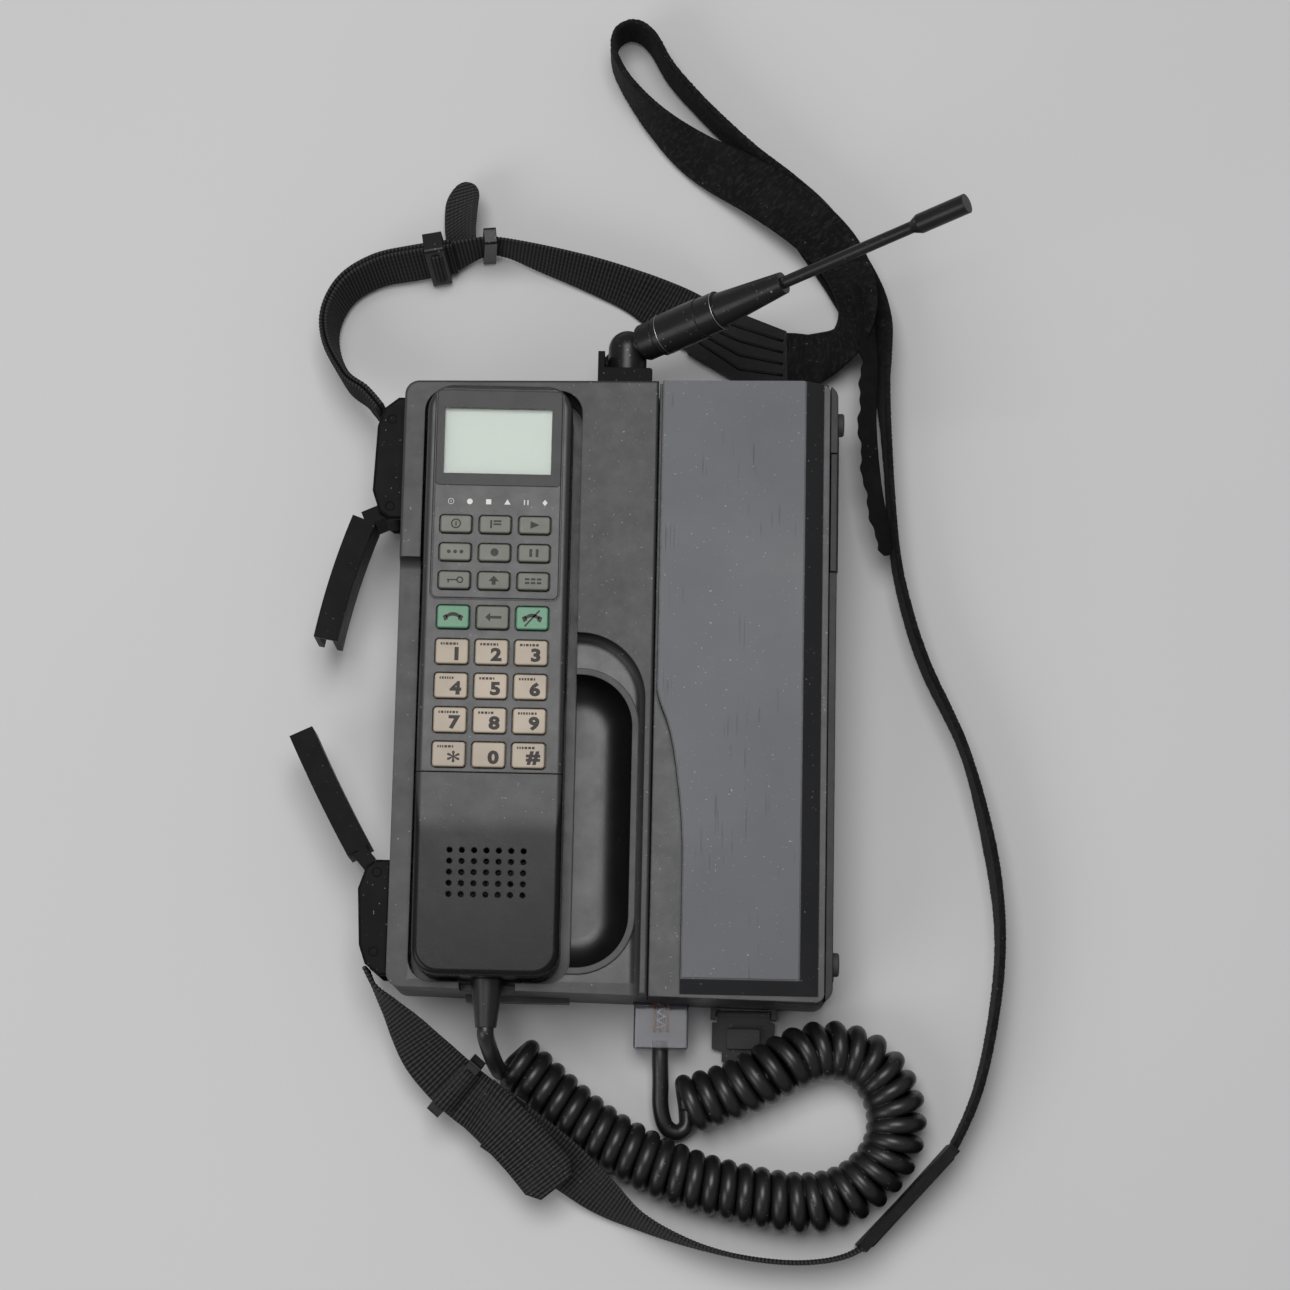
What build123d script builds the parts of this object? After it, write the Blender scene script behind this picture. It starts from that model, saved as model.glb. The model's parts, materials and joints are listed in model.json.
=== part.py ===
from build123d import *
from math import cos, radians, sin
import os

os.makedirs("parts", exist_ok=True)

# ---- Driving dimensions (mm) -------------------------------------------------------------------------------
# +X is the battery side, +Y the antenna end, +Z out of the front. The origin is the middle of the flat back.
HALF_WIDTH = 76.0           # half the width of the case
RIGHT_HALF = 108.5          # half the length at the battery side
LEFT_HALF = 105.7           # half the length at the handle side, which is a little shorter
DEPTH = 50.0                # back of the case to its highest front face
LOWER_DEPTH = 45.0          # front face beside the grip and on the lower left rail
SPLIT = 26.0                # height of the joint between the rear and the front case
WALL = 2.5
GAP = 0.3                   # gap between neighbouring mouldings
CORNER = 5.0                # radius of the upright corners
SEAM = 13.0                 # line between the front case and the battery
SHELF = 19.4                # top of the shelf under the battery
SHELF_BOTTOM = SHELF - WALL

HANDSET_X = -42.0
HANDSET_WIDTH = 50.0
HANDSET_TOP = 101.5
HANDSET_BOTTOM = -102.5
HANDSET_BACK = 31.5
HANDSET_FRONT = 62.0
HANDSET_SPLIT = 48.0        # joint between the handset's rear shell and its front
HANDSET_WALL = 2.2
KEYPAD_END = -34.1          # joint between the keypad shell and the grille cover
POCKET_X = -41.2
POCKET_WIDTH = 55.0
POCKET_TOP = 102.8
POCKET_BOTTOM = -103.8
POCKET_FLOOR = 31.0

PANEL_BACK = HANDSET_FRONT - 2.5    # underside of the handset's front panel
KEY_X = -42.4
KEY_PITCH = 13.5
KEY_GAP = 0.45              # gap around each key cap
KEY_TOP = HANDSET_FRONT + 1.2
FLANGE = 0.5                # how far a key's flange reaches past its hole
FLANGE_TOP = PANEL_BACK - 0.2
FLANGE_DEPTH = 1.3

PIN_RADIUS = 1.5
PIN_BORE = PIN_RADIUS + 0.06
LUG_LOW = 12.0              # both lugs and their pins stand between these two heights
LUG_HIGH = 38.0
LUG_CHEEK = 2.6

PIVOT = Vector(1.5, 122.0, 36.0)                # middle of the antenna's swivel
AERIAL = Vector(0.812, 0.232, 0.536).normalized()
ELBOW_RADIUS = 6.8
SPIGOT_RADIUS = 4.2
NUT_START = 7.0             # distances along the antenna from the swivel
NUT_END = 13.9
BARREL_START = 14.3
BARREL_END = 39.6
CONE_END = 66.0
TIP_START = 120.7
TIP_END = 139.0

CORD_RADIUS = 2.9
COIL_RADIUS = 10.5
STRAP_WIDTH = 20.0
STRAP_THICKNESS = 1.6
BAND_WIDTH = 20.0
BAND_THICKNESS = 2.6

HINGE_RADIUS = 0.8          # pins of the port cover and the latch
HINGE_BORE = HINGE_RADIUS + 0.06
HINGE_Y = -110.2            # axis of the port cover
HINGE_Z = 4.6
COVER_DROP = 9.0            # degrees that the open cover hangs below the horizontal
LATCH_X = 74.9              # axis of the battery latch
LATCH_Z = 29.6
PLUG_X = 18.1
PLUG_WIDTH = 19.0
PORT_X = 47.2


# ---- Shared shapes -----------------------------------------------------------------------------------------
def polygon(*points):
    """Face with straight sides."""
    with BuildSketch() as face:
        with BuildLine():
            Polyline(*points, close=True)
        make_face()
    return face.sketch


def half_length(x):
    """Half the length of the case at this x: its two ends slope a little."""
    share = (x + HALF_WIDTH) / (2 * HALF_WIDTH)
    return LEFT_HALF + share * (RIGHT_HALF - LEFT_HALF)


def case_outline(left, right, inset):
    """Four-sided face between two x positions, drawn in from the sloping ends by the inset."""
    near = half_length(left) - inset
    far = half_length(right) - inset
    return polygon((left, -near), (right, -far), (right, far), (left, near))


def box(left, right, bottom, top, low, high):
    """Rectangular block given by its limits on x, y and z."""
    with BuildPart() as block:
        with BuildSketch(Plane.XY.offset(low)):
            add(polygon((left, bottom), (right, bottom), (right, top), (left, top)))
        extrude(amount=high - low)
    return block.part


def rounded_box(left, right, bottom, top, corner, low, high):
    """Block with rounded upright corners."""
    with BuildPart() as block:
        with BuildSketch(Plane((((left + right) / 2), (bottom + top) / 2, low))):
            RectangleRounded(right - left, top - bottom, corner)
        extrude(amount=high - low)
    return block.part


def bar(start, direction, length, radius, end_radius=None):
    """Cylinder, or cone, along any direction."""
    with BuildPart() as rod:
        with BuildSketch(Plane(origin=start, z_dir=direction)):
            Circle(radius)
        with BuildSketch(Plane(origin=start + direction * length, z_dir=direction)):
            Circle(end_radius or radius)
        loft()
    return rod.part


def along_aerial(start, end, radius, end_radius=None):
    """Cylinder, or cone, on the antenna's axis."""
    return bar(PIVOT + AERIAL * start, AERIAL, end - start, radius, end_radius)


# ---- Rear case ---------------------------------------------------------------------------------------------
BAY_LEFT = SEAM + WALL - 0.2        # the battery bay, inside the rear case
BAY_RIGHT = HALF_WIDTH - WALL
RADIO_TOP = SHELF_BOTTOM
LATCH_BOTTOM = 41.0                 # the slot for the latch, along y
LATCH_TOP = 83.8
FRONT_RIGHT = SEAM - GAP / 2        # right face of the front case

with BuildPart() as rear_case:
    with BuildSketch():
        add(case_outline(-HALF_WIDTH, HALF_WIDTH, 0))
    extrude(amount=LOWER_DEPTH)
    fillet(rear_case.edges().filter_by(Axis.Z), CORNER)
    chamfer(rear_case.faces().sort_by(Axis.Z)[0].edges(), 1.5)
    add(box(-HALF_WIDTH, BAY_RIGHT, -RIGHT_HALF, RIGHT_HALF, SPLIT, DEPTH), mode=Mode.SUBTRACT)
    with BuildSketch(Plane.XY.offset(WALL)):
        add(case_outline(-BAY_RIGHT, BAY_RIGHT, WALL))
    extrude(amount=RADIO_TOP - WALL, mode=Mode.SUBTRACT)
    with BuildSketch(Plane.XY.offset(RADIO_TOP)):
        add(case_outline(-BAY_RIGHT, SEAM - 0.2, WALL))
    extrude(amount=SPLIT - RADIO_TOP, mode=Mode.SUBTRACT)
    with BuildSketch(Plane.XY.offset(SHELF)):
        add(case_outline(BAY_LEFT, BAY_RIGHT, WALL))
    extrude(amount=SPLIT - SHELF, mode=Mode.SUBTRACT)
    # Bosses for the main board
    with BuildSketch(Plane.XY.offset(WALL)):
        with Locations((-66, -94), (-66, 94), (4, 94), (-66, 0)):
            Circle(3)
    extrude(amount=16)
    # Grip ridge under the bottom edge
    add(box(-50, -14, -108.4, -105, 9, 18))
    # Openings for the plug and for the covered port
    add(box(PLUG_X - 9.8, PLUG_X + 9.8, -112, -100, 3.7, 16.3), mode=Mode.SUBTRACT)
    add(box(PORT_X - 6.3, PORT_X + 6.3, -112, -100, HINGE_Z + 4.2, HINGE_Z + 12.2), mode=Mode.SUBTRACT)
    # Ears that carry the port cover
    for side in (-1, 1):
        ear = PORT_X + side * 10.7
        add(box(ear - 0.9, ear + 0.9, HINGE_Y - 1.7, -107, HINGE_Z - 1.7, HINGE_Z + 1.7))
    add(bar(Vector(PORT_X - 12, HINGE_Y, HINGE_Z), Vector(1, 0, 0), 24, HINGE_BORE), mode=Mode.SUBTRACT)
    # Slot and bore for the battery latch
    add(box(BAY_RIGHT - 1, HALF_WIDTH + 1, LATCH_BOTTOM, LATCH_TOP, LATCH_Z - 2, DEPTH), mode=Mode.SUBTRACT)
    add(bar(Vector(LATCH_X, LATCH_BOTTOM - 1.3, LATCH_Z), Vector(0, 1, 0), LATCH_TOP - LATCH_BOTTOM + 2.6,
            HINGE_BORE), mode=Mode.SUBTRACT)
    # Fine grip grooves down the right wall
    with BuildSketch(Plane.YZ.offset(HALF_WIDTH)):
        with Locations((-18, 22)):
            with GridLocations(3.2, 0, 36, 1):
                Rectangle(1.3, 36)
    extrude(amount=-0.5, mode=Mode.SUBTRACT)


# ---- Front case --------------------------------------------------------------------------------------------
RIB_LEFT = 10.3                     # the narrow high rib by the seam starts here
STEP_Y = 42.5                       # the left rail drops to the lower level here
RECESS_TOP = 17.0
SCOOP_TOP = 2.9
SCOOP_BOTTOM = -98.2
SCOOP_RIGHT = 6.0
RISER_HOLLOW = 4.0
FRONT_BASE = SPLIT + GAP


def recess(grow):
    """Outline of the lower level: the grip side, the bottom rail and the lower left rail."""
    right = RIB_LEFT + grow
    top = RECESS_TOP + grow
    with BuildSketch() as outline:
        add(polygon((-90, -120), (right, -120), (right, top), (-90, top)))
        fillet(outline.vertices().group_by(Axis.X)[-1].sort_by(Axis.Y)[-1], 23)
        add(polygon((-90, 0), (-60, 0), (-60, STEP_Y + grow), (-90, STEP_Y + grow)))
    return outline.sketch


def scoop(grow, height):
    """Outline of the finger scoop, which is open on its left to the cradle pocket."""
    right = SCOOP_RIGHT + grow
    top = SCOOP_TOP + grow
    bottom = SCOOP_BOTTOM - grow
    with BuildSketch(Plane.XY.offset(height)) as outline:
        add(polygon((POCKET_X, bottom), (right, bottom), (right, top), (POCKET_X, top)))
        fillet(outline.vertices().group_by(Axis.X)[-1], 18 + grow)
    return outline.sketch


def pocket(grow, low, high):
    """Block in the shape of the cradle pocket."""
    left = POCKET_X - POCKET_WIDTH / 2 - grow
    right = POCKET_X + POCKET_WIDTH / 2 + grow
    ends = min(grow, 2.0)
    return rounded_box(left, right, POCKET_BOTTOM - ends, POCKET_TOP + ends, 8 + grow, low, high)


SCOOP_RIM = 2.2                     # width of the raised rim round the scoop
RIM_HEIGHT = 1.0
BOWL_RADIUS = 11.0

# The scoop is a bowl: its floor curves up into its walls
with BuildPart() as scoop_cut:
    extrude(scoop(0, POCKET_FLOOR + WALL), amount=LOWER_DEPTH + RIM_HEIGHT - POCKET_FLOOR - WALL + 0.2)
    fillet(scoop_cut.faces().sort_by(Axis.Z)[0].edges(), BOWL_RADIUS)

# The lower level meets the riser around it in a hollow curve
with BuildPart() as recess_cut:
    extrude(Plane.XY.offset(LOWER_DEPTH) * recess(0), amount=DEPTH)
    fillet(recess_cut.faces().sort_by(Axis.Z)[0].edges(), RISER_HOLLOW)

with BuildPart() as front_case:
    with BuildSketch(Plane.XY.offset(FRONT_BASE)):
        add(case_outline(-HALF_WIDTH, FRONT_RIGHT, 0))
    extrude(amount=DEPTH - FRONT_BASE)
    fillet(front_case.edges().filter_by(Axis.Z).group_by(Axis.X)[0], CORNER)
    fillet(front_case.faces().sort_by(Axis.Z)[-1].edges(), 1.0)
    with BuildSketch(Plane.XY.offset(FRONT_BASE)):
        add(case_outline(-BAY_RIGHT, FRONT_RIGHT - WALL, WALL))
    extrude(amount=DEPTH - WALL - FRONT_BASE, mode=Mode.SUBTRACT)
    # Lower level: its plate and the riser around it
    with BuildSketch(Plane.XY.offset(LOWER_DEPTH - WALL)):
        add(case_outline(-BAY_RIGHT - 1, FRONT_RIGHT - 1, 1))
        add(recess(WALL), mode=Mode.INTERSECT)
    extrude(amount=DEPTH - LOWER_DEPTH + 1)
    add(pocket(WALL, POCKET_FLOOR - WALL, DEPTH - 1))
    extrude(scoop(WALL, POCKET_FLOOR), amount=LOWER_DEPTH - POCKET_FLOOR)
    add(recess_cut.part, mode=Mode.SUBTRACT)
    extrude(scoop(SCOOP_RIM, LOWER_DEPTH - RIM_HEIGHT), amount=2 * RIM_HEIGHT)
    add(pocket(0, POCKET_FLOOR, DEPTH + 5), mode=Mode.SUBTRACT)
    add(scoop_cut.part, mode=Mode.SUBTRACT)
    # Notch for the cord boot in the bottom wall
    add(box(-51, -32, -115, -100, POCKET_FLOOR + 3, DEPTH), mode=Mode.SUBTRACT)
    # Lip that locates the front case inside the rear one
    with BuildSketch(Plane.XY.offset(SPLIT - 2)):
        add(case_outline(-BAY_RIGHT + 0.1, SEAM - 0.3, WALL + 0.1))
        add(case_outline(-BAY_RIGHT + 1.6, SEAM - 1.8, WALL + 1.6), mode=Mode.SUBTRACT)
    extrude(amount=GAP + 3)


# ---- Inside the case ---------------------------------------------------------------------------------------
with BuildPart() as main_board:
    with BuildSketch(Plane.XY.offset(18.6)):
        add(case_outline(-71, 8.5, 5))
    extrude(amount=1.6)

with BuildPart() as transceiver_module:
    add(rounded_box(-56, 68, -84, 84, 4, 3, 15.6))
    fillet(transceiver_module.edges().group_by(Axis.Z)[-1], 1)


# ---- Lugs, pins and the broken carry handle ----------------------------------------------------------------
def lug(side, handle_end, strap_end, handle_pin, strap_pin):
    """Side lug: a strap slot and a handle slot, each with its pin, and solid between them."""
    slot_high = LUG_HIGH - LUG_LOW - 2 * LUG_CHEEK
    with BuildPart() as block:
        with BuildSketch(Plane.XY.offset(LUG_LOW)):
            add(polygon((-76, side * strap_end), (-79, side * strap_end), (-84, side * (strap_end - 4)),
                    (-86.2, side * (strap_end - 10.4)), (-87.2, side * (handle_end + 10)),
                    (-84.6, side * (handle_end + 2.4)), (-81, side * handle_end), (-76, side * handle_end)))
        extrude(amount=LUG_HIGH - LUG_LOW)
        chamfer(block.edges().group_by(Axis.Z)[-1] + block.edges().group_by(Axis.Z)[0], 0.8)
        for near, far in ((handle_end - 1, handle_pin[1] * side + 7),
                          (strap_pin[1] * side - 8, strap_end + 1)):
            low, high = sorted((side * near, side * far))
            add(box(-90, -75, low, high, LUG_LOW + LUG_CHEEK, LUG_LOW + LUG_CHEEK + slot_high),
                mode=Mode.SUBTRACT)
        for pin in (handle_pin, strap_pin):
            add(bar(Vector(*pin, LUG_LOW), Vector(0, 0, 1), LUG_HIGH - LUG_LOW, PIN_BORE), mode=Mode.SUBTRACT)
    return block.part


UPPER_HANDLE_PIN = (-80.8, 63.0)
UPPER_STRAP_PIN = (-81.0, 94.5)
LOWER_HANDLE_PIN = (-80.8, -66.2)
LOWER_STRAP_PIN = (-81.0, -93.5)
ARM_LOW = LUG_LOW + LUG_CHEEK + 0.4
ARM_HIGH = LUG_HIGH - LUG_CHEEK - 0.4
ARM_WIDTH = 8.6

with BuildPart() as lug_upper:
    add(lug(1, 58.6, 102.6, UPPER_HANDLE_PIN, UPPER_STRAP_PIN))

with BuildPart() as lug_lower:
    add(lug(-1, 61.8, 101.6, LOWER_HANDLE_PIN, LOWER_STRAP_PIN))

with BuildPart() as lug_pins:
    with BuildSketch(Plane.XY.offset(LUG_LOW)):
        with Locations(UPPER_HANDLE_PIN, UPPER_STRAP_PIN, LOWER_HANDLE_PIN, LOWER_STRAP_PIN):
            Circle(PIN_RADIUS)
    extrude(amount=LUG_HIGH - LUG_LOW)


def handle_arm(pin, head, middle, end):
    """Stub of the carry handle: an eye on its pin, a short neck, and a curved arm hollow from behind."""
    with BuildPart() as arm:
        with BuildSketch(Plane.XY.offset(ARM_LOW)):
            with Locations(pin):
                Circle(4.2)
            with BuildLine():
                Line(pin, head)
            trace(line_width=5.4)
            with BuildLine() as curve:
                ThreePointArc(head, middle, end)
            trace(line_width=ARM_WIDTH)
        extrude(amount=ARM_HIGH - ARM_LOW)
        with BuildSketch(Plane.XY.offset(ARM_LOW)):
            add(curve.line)
            trace(line_width=ARM_WIDTH - 4)
        extrude(amount=ARM_HIGH - ARM_LOW - 2, mode=Mode.SUBTRACT)
        add(bar(Vector(*pin, ARM_LOW), Vector(0, 0, 1), ARM_HIGH - ARM_LOW, PIN_BORE), mode=Mode.SUBTRACT)
    return arm.part


with BuildPart() as handle_arm_upper:
    add(handle_arm(UPPER_HANDLE_PIN, (-90.0, 58.8), (-97.2, 36.4), (-101.9, 15.7)))

with BuildPart() as handle_arm_lower:
    add(handle_arm(LOWER_HANDLE_PIN, (-87.6, -58.4), (-99.0, -37.8), (-109.3, -17.2)))


# ---- Antenna -----------------------------------------------------------------------------------------------
BRACKET_LEFT = -8.8
BRACKET_RIGHT = 10.4
BRACKET_BASE = half_length(BRACKET_RIGHT) + 0.05
BRACKET_TOP = 113.2
BRACKET_HIGH = 45.0
CHEEK_TOP = 119.0
TRAY_LOW = 24.2
TRAY_HIGH = 28.2                    # the tray stops short of the elbow and of the lowered antenna

with BuildPart() as antenna_bracket:
    add(rounded_box(BRACKET_LEFT, BRACKET_RIGHT, BRACKET_BASE, BRACKET_TOP, 1, TRAY_LOW, BRACKET_HIGH))
    add(box(BRACKET_LEFT, BRACKET_LEFT + 2.4, BRACKET_BASE, CHEEK_TOP, TRAY_LOW, BRACKET_HIGH))
    with BuildSketch(Plane.XY.offset(TRAY_LOW)):
        add(polygon((BRACKET_LEFT, BRACKET_BASE), (8, BRACKET_BASE), (8, 124), (4, 127), (-1.5, 127),
                    (BRACKET_LEFT, CHEEK_TOP)))
    extrude(amount=TRAY_HIGH - TRAY_LOW)

with BuildPart() as antenna_elbow:
    add(bar(Vector(PIVOT.X, BRACKET_TOP + 0.3, PIVOT.Z), Vector(0, 1, 0), PIVOT.Y - BRACKET_TOP - 0.3,
            ELBOW_RADIUS))
    with Locations(PIVOT):
        Sphere(ELBOW_RADIUS)
    add(along_aerial(0, BARREL_START - 0.1, SPIGOT_RADIUS))

with BuildPart() as antenna_nut:
    add(along_aerial(NUT_START, NUT_END, 6.3))
    add(along_aerial(NUT_START, NUT_END, SPIGOT_RADIUS + 0.07), mode=Mode.SUBTRACT)
    add(along_aerial(0, PIVOT.Y, SPIGOT_RADIUS + 0.07), mode=Mode.SUBTRACT)

with BuildPart() as antenna_barrel:
    add(along_aerial(BARREL_START, 32.3, 7.3))
    add(along_aerial(32.3, BARREL_END, 7.0))
    add(along_aerial(BARREL_END, CONE_END, 6.2, 3.9))

with BuildPart() as antenna_whip:
    add(along_aerial(CONE_END, TIP_START, 2.1))
    add(along_aerial(TIP_START - 3, TIP_START, 2.1, 3.45))
    add(along_aerial(TIP_START, TIP_END, 3.45))


# ---- Side feet, port cover, latch --------------------------------------------------------------------------
with BuildPart() as side_feet:
    with BuildSketch(Plane.YZ.offset(HALF_WIDTH)):
        with Locations((-95, 10), (-95, 40), (95, 10), (95, 40)):
            Circle(4.1)
    extrude(amount=2.3)
    chamfer(side_feet.faces().group_by(Axis.X)[-1].edges(), 0.5)

COVER = Plane(origin=(PORT_X, HINGE_Y, HINGE_Z), x_dir=(1, 0, 0),
              z_dir=(0, -sin(radians(COVER_DROP)), cos(radians(COVER_DROP))))

with BuildPart() as port_cover:
    with BuildSketch(COVER.offset(-1.0)):
        add(polygon((-9.3, 0), (9.3, 0), (9.3, -2.9), (11, -2.9), (11, -12), (7.4, -13), (7.4, -16.4),
                    (-7.4, -16.4), (-7.4, -13), (-11, -12), (-11, -2.9), (-9.3, -2.9)))
    extrude(amount=2)
    with BuildSketch(COVER.offset(1.0)):
        with Locations((0, -8.2)):
            RectangleRounded(11.6, 7, 1)
    extrude(amount=2.2)
    add(bar(Vector(PORT_X - 9.3, HINGE_Y, HINGE_Z), Vector(1, 0, 0), 18.6, 1.4))
    add(bar(Vector(PORT_X - 11.4, HINGE_Y, HINGE_Z), Vector(1, 0, 0), 22.8, HINGE_RADIUS))

with BuildPart() as battery_latch:
    add(box(BAY_RIGHT + 0.2, HALF_WIDTH + 0.4, LATCH_BOTTOM + 0.4, LATCH_TOP - 0.4, LATCH_Z - 1.2,
            LOWER_DEPTH))
    chamfer(battery_latch.edges().filter_by(Axis.Y).group_by(Axis.X)[-1], 0.6)
    add(bar(Vector(LATCH_X, LATCH_BOTTOM - 1, LATCH_Z), Vector(0, 1, 0), LATCH_TOP - LATCH_BOTTOM + 2,
            HINGE_RADIUS))


# ---- Battery pack ------------------------------------------------------------------------------------------
PACK_LEFT = SEAM + GAP              # upper part of the pack, flush with the case ends
PACK_RIGHT = BAY_RIGHT - GAP
PACK_STEP = SPLIT + GAP             # the pack widens to full length above the rear case's walls
PACK_SPLIT = 38.0                   # joint between the pack's case and its cover
BEVEL_BASE = 45.5
LABEL_BASE = DEPTH - 0.4
PLATE_LEFT = 14.8
PLATE_WAIST = 24.6
PLATE_RIGHT = 64.0
PLATE_BOTTOM = -101.0
CELL_RADIUS = 10.8
PACK_FLOOR = 1.6


def plate_outline(grow, height):
    """Outline of the raised plate: its left side runs straight down, then sweeps in through an S."""
    left = PLATE_LEFT - grow
    waist = PLATE_WAIST - grow
    right = PLATE_RIGHT + grow
    bottom = PLATE_BOTTOM - grow
    with BuildSketch(Plane.XY.offset(height)) as outline:
        with BuildLine():
            Line((left, half_length(left)), (left, -2))
            Spline((left, -2), (left + 3.6, -13), (left + 7.2, -30), (waist, -62),
                   tangents=((0.15, -1), (0, -1)))
            Line((waist, -62), (waist, bottom))
            Line((waist, bottom), (right, bottom))
            Line((right, bottom), (right, half_length(right)))
            Line((right, half_length(right)), (left, half_length(left)))
        make_face()
    return outline.sketch


with BuildPart() as battery_case:
    with BuildSketch(Plane.XY.offset(PACK_STEP)):
        add(case_outline(PACK_LEFT, PACK_RIGHT, 0))
    extrude(amount=PACK_SPLIT - PACK_STEP)
    with BuildSketch(Plane.XY.offset(SHELF + GAP)):
        add(case_outline(BAY_LEFT + GAP, PACK_RIGHT, WALL + GAP))
    extrude(amount=PACK_STEP - SHELF)
    with BuildSketch(Plane.XY.offset(SHELF + GAP + PACK_FLOOR)):
        add(case_outline(BAY_LEFT + GAP + WALL, PACK_RIGHT - WALL, 2 * WALL + GAP))
    extrude(amount=PACK_SPLIT, mode=Mode.SUBTRACT)

with BuildPart() as battery_cover:
    with BuildSketch(Plane.XY.offset(PACK_SPLIT + 0.1)):
        add(case_outline(PACK_LEFT, PACK_RIGHT, 0))
    extrude(amount=BEVEL_BASE - PACK_SPLIT - 0.1)
    fillet(battery_cover.edges().filter_by(Axis.Z).group_by(Axis.X)[-1], 3)
    with BuildSketch(Plane.XY.offset(PACK_SPLIT)):
        add(case_outline(PACK_LEFT + WALL, PACK_RIGHT - WALL, WALL))
    extrude(amount=BEVEL_BASE - 2 - PACK_SPLIT, mode=Mode.SUBTRACT)
    # The plate, and the bevels that run down from it to the right and to the bottom
    extrude(plate_outline(0.6, BEVEL_BASE - 1), amount=LABEL_BASE - BEVEL_BASE + 1)
    for height, right, bottom in ((BEVEL_BASE - 1, PACK_RIGHT - 0.6, PLATE_BOTTOM - 6.6),
                                  (LABEL_BASE, PLATE_RIGHT + 0.6, PLATE_BOTTOM - 0.6)):
        with BuildSketch(Plane.XY.offset(height)):
            add(polygon((PLATE_WAIST - 0.6, bottom), (right, bottom), (right, half_length(PLATE_RIGHT)),
                        (PLATE_WAIST - 0.6, half_length(PLATE_WAIST))))
    loft()

with BuildPart() as battery_label:
    extrude(plate_outline(0, LABEL_BASE), amount=DEPTH - LABEL_BASE)

with BuildPart() as battery_cells:
    with BuildSketch(Plane.YZ.offset(22.6)):
        with Locations((0, SHELF + GAP + PACK_FLOOR + CELL_RADIUS + 0.1)):
            with GridLocations(2 * CELL_RADIUS + 0.8, 0, 8, 1):
                Circle(CELL_RADIUS)
    extrude(amount=43)


# ---- Handset -----------------------------------------------------------------------------------------------
HANDSET_LEFT = HANDSET_X - HANDSET_WIDTH / 2
HANDSET_RIGHT = HANDSET_X + HANDSET_WIDTH / 2
GRILLE_TOP = KEYPAD_END - GAP
SHELL_BASE = HANDSET_SPLIT + 0.2
WINDOW_LEFT = HANDSET_X - 21.4
WINDOW_RIGHT = HANDSET_X + 21.4
WINDOW_BOTTOM = 65.6
WINDOW_TOP = 99.0
LCD_BOTTOM = 69.6
LCD_TOP = 93.1
LCD_WIDTH = 37.2
BOOT_X = -41.6
BOOT_Z = 42.0


def handset_block(grow, low, high):
    """Block with the handset's plan shape, drawn in by a negative grow."""
    return rounded_box(HANDSET_LEFT - grow, HANDSET_RIGHT + grow, HANDSET_BOTTOM - grow, HANDSET_TOP + grow,
                       9 + grow, low, high)


with BuildPart() as handset_rear:
    add(handset_block(0, HANDSET_BACK, HANDSET_SPLIT))
    fillet(handset_rear.faces().sort_by(Axis.Z)[0].edges(), 4)
    # Arched grip between the ear and the mouth pads
    with BuildSketch(Plane.YZ.offset(HANDSET_LEFT - 5)):
        with BuildLine():
            ThreePointArc((-60, HANDSET_BACK), (0, HANDSET_BACK + 5), (60, HANDSET_BACK))
            Line((60, HANDSET_BACK), (60, HANDSET_BACK - 5))
            Line((60, HANDSET_BACK - 5), (-60, HANDSET_BACK - 5))
            Line((-60, HANDSET_BACK - 5), (-60, HANDSET_BACK))
        make_face()
    extrude(amount=HANDSET_WIDTH + 10, mode=Mode.SUBTRACT)
    add(handset_block(-HANDSET_WALL, HANDSET_BACK + 7.5, HANDSET_SPLIT + 1), mode=Mode.SUBTRACT)
    with BuildSketch(Plane.XY.offset(HANDSET_BACK + HANDSET_WALL)):
        with Locations((HANDSET_X, 80), (HANDSET_X, -82)):
            Circle(15)
    extrude(amount=10, mode=Mode.SUBTRACT)
    # Sound holes facing the cradle, at the ear and at the mouth
    with BuildSketch(Plane.XY.offset(HANDSET_BACK)):
        with Locations((HANDSET_X, 80), (HANDSET_X, -82)):
            with PolarLocations(5, 6):
                Circle(1)
    extrude(amount=4, mode=Mode.SUBTRACT)
    # Seat of the cord boot
    add(bar(Vector(BOOT_X, -99, BOOT_Z), Vector(0, -1, 0), 6, 4.1), mode=Mode.SUBTRACT)

COLUMNS = [KEY_X + column * KEY_PITCH for column in (-1, 0, 1)]
FUNCTION_ROWS = [51.6 - 9.85 * row for row in range(3)]
CALL_ROW = 19.1
DIAL_ROWS = [7.1 - 11.8 * row for row in range(4)]
FUNCTION_KEY = (10.6, 5.9)
CALL_KEY = (10.8, 7.8)
DIAL_KEY = (11.0, 8.4)


def key_places():
    """Name, centre and cap size of each of the 24 keys."""
    places = []
    for row, y in enumerate(FUNCTION_ROWS):
        for column, x in enumerate(COLUMNS):
            places.append((f"key_function_{3 * row + column + 1}", x, y, FUNCTION_KEY))
    for name, x in zip(("key_call", "key_clear", "key_end"), COLUMNS):
        places.append((name, x, CALL_ROW, CALL_KEY))
    dial = ("1", "2", "3", "4", "5", "6", "7", "8", "9", "star", "0", "hash")
    for index, mark in enumerate(dial):
        places.append((f"key_{mark}", COLUMNS[index % 3], DIAL_ROWS[index // 3], DIAL_KEY))
    return places


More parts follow.
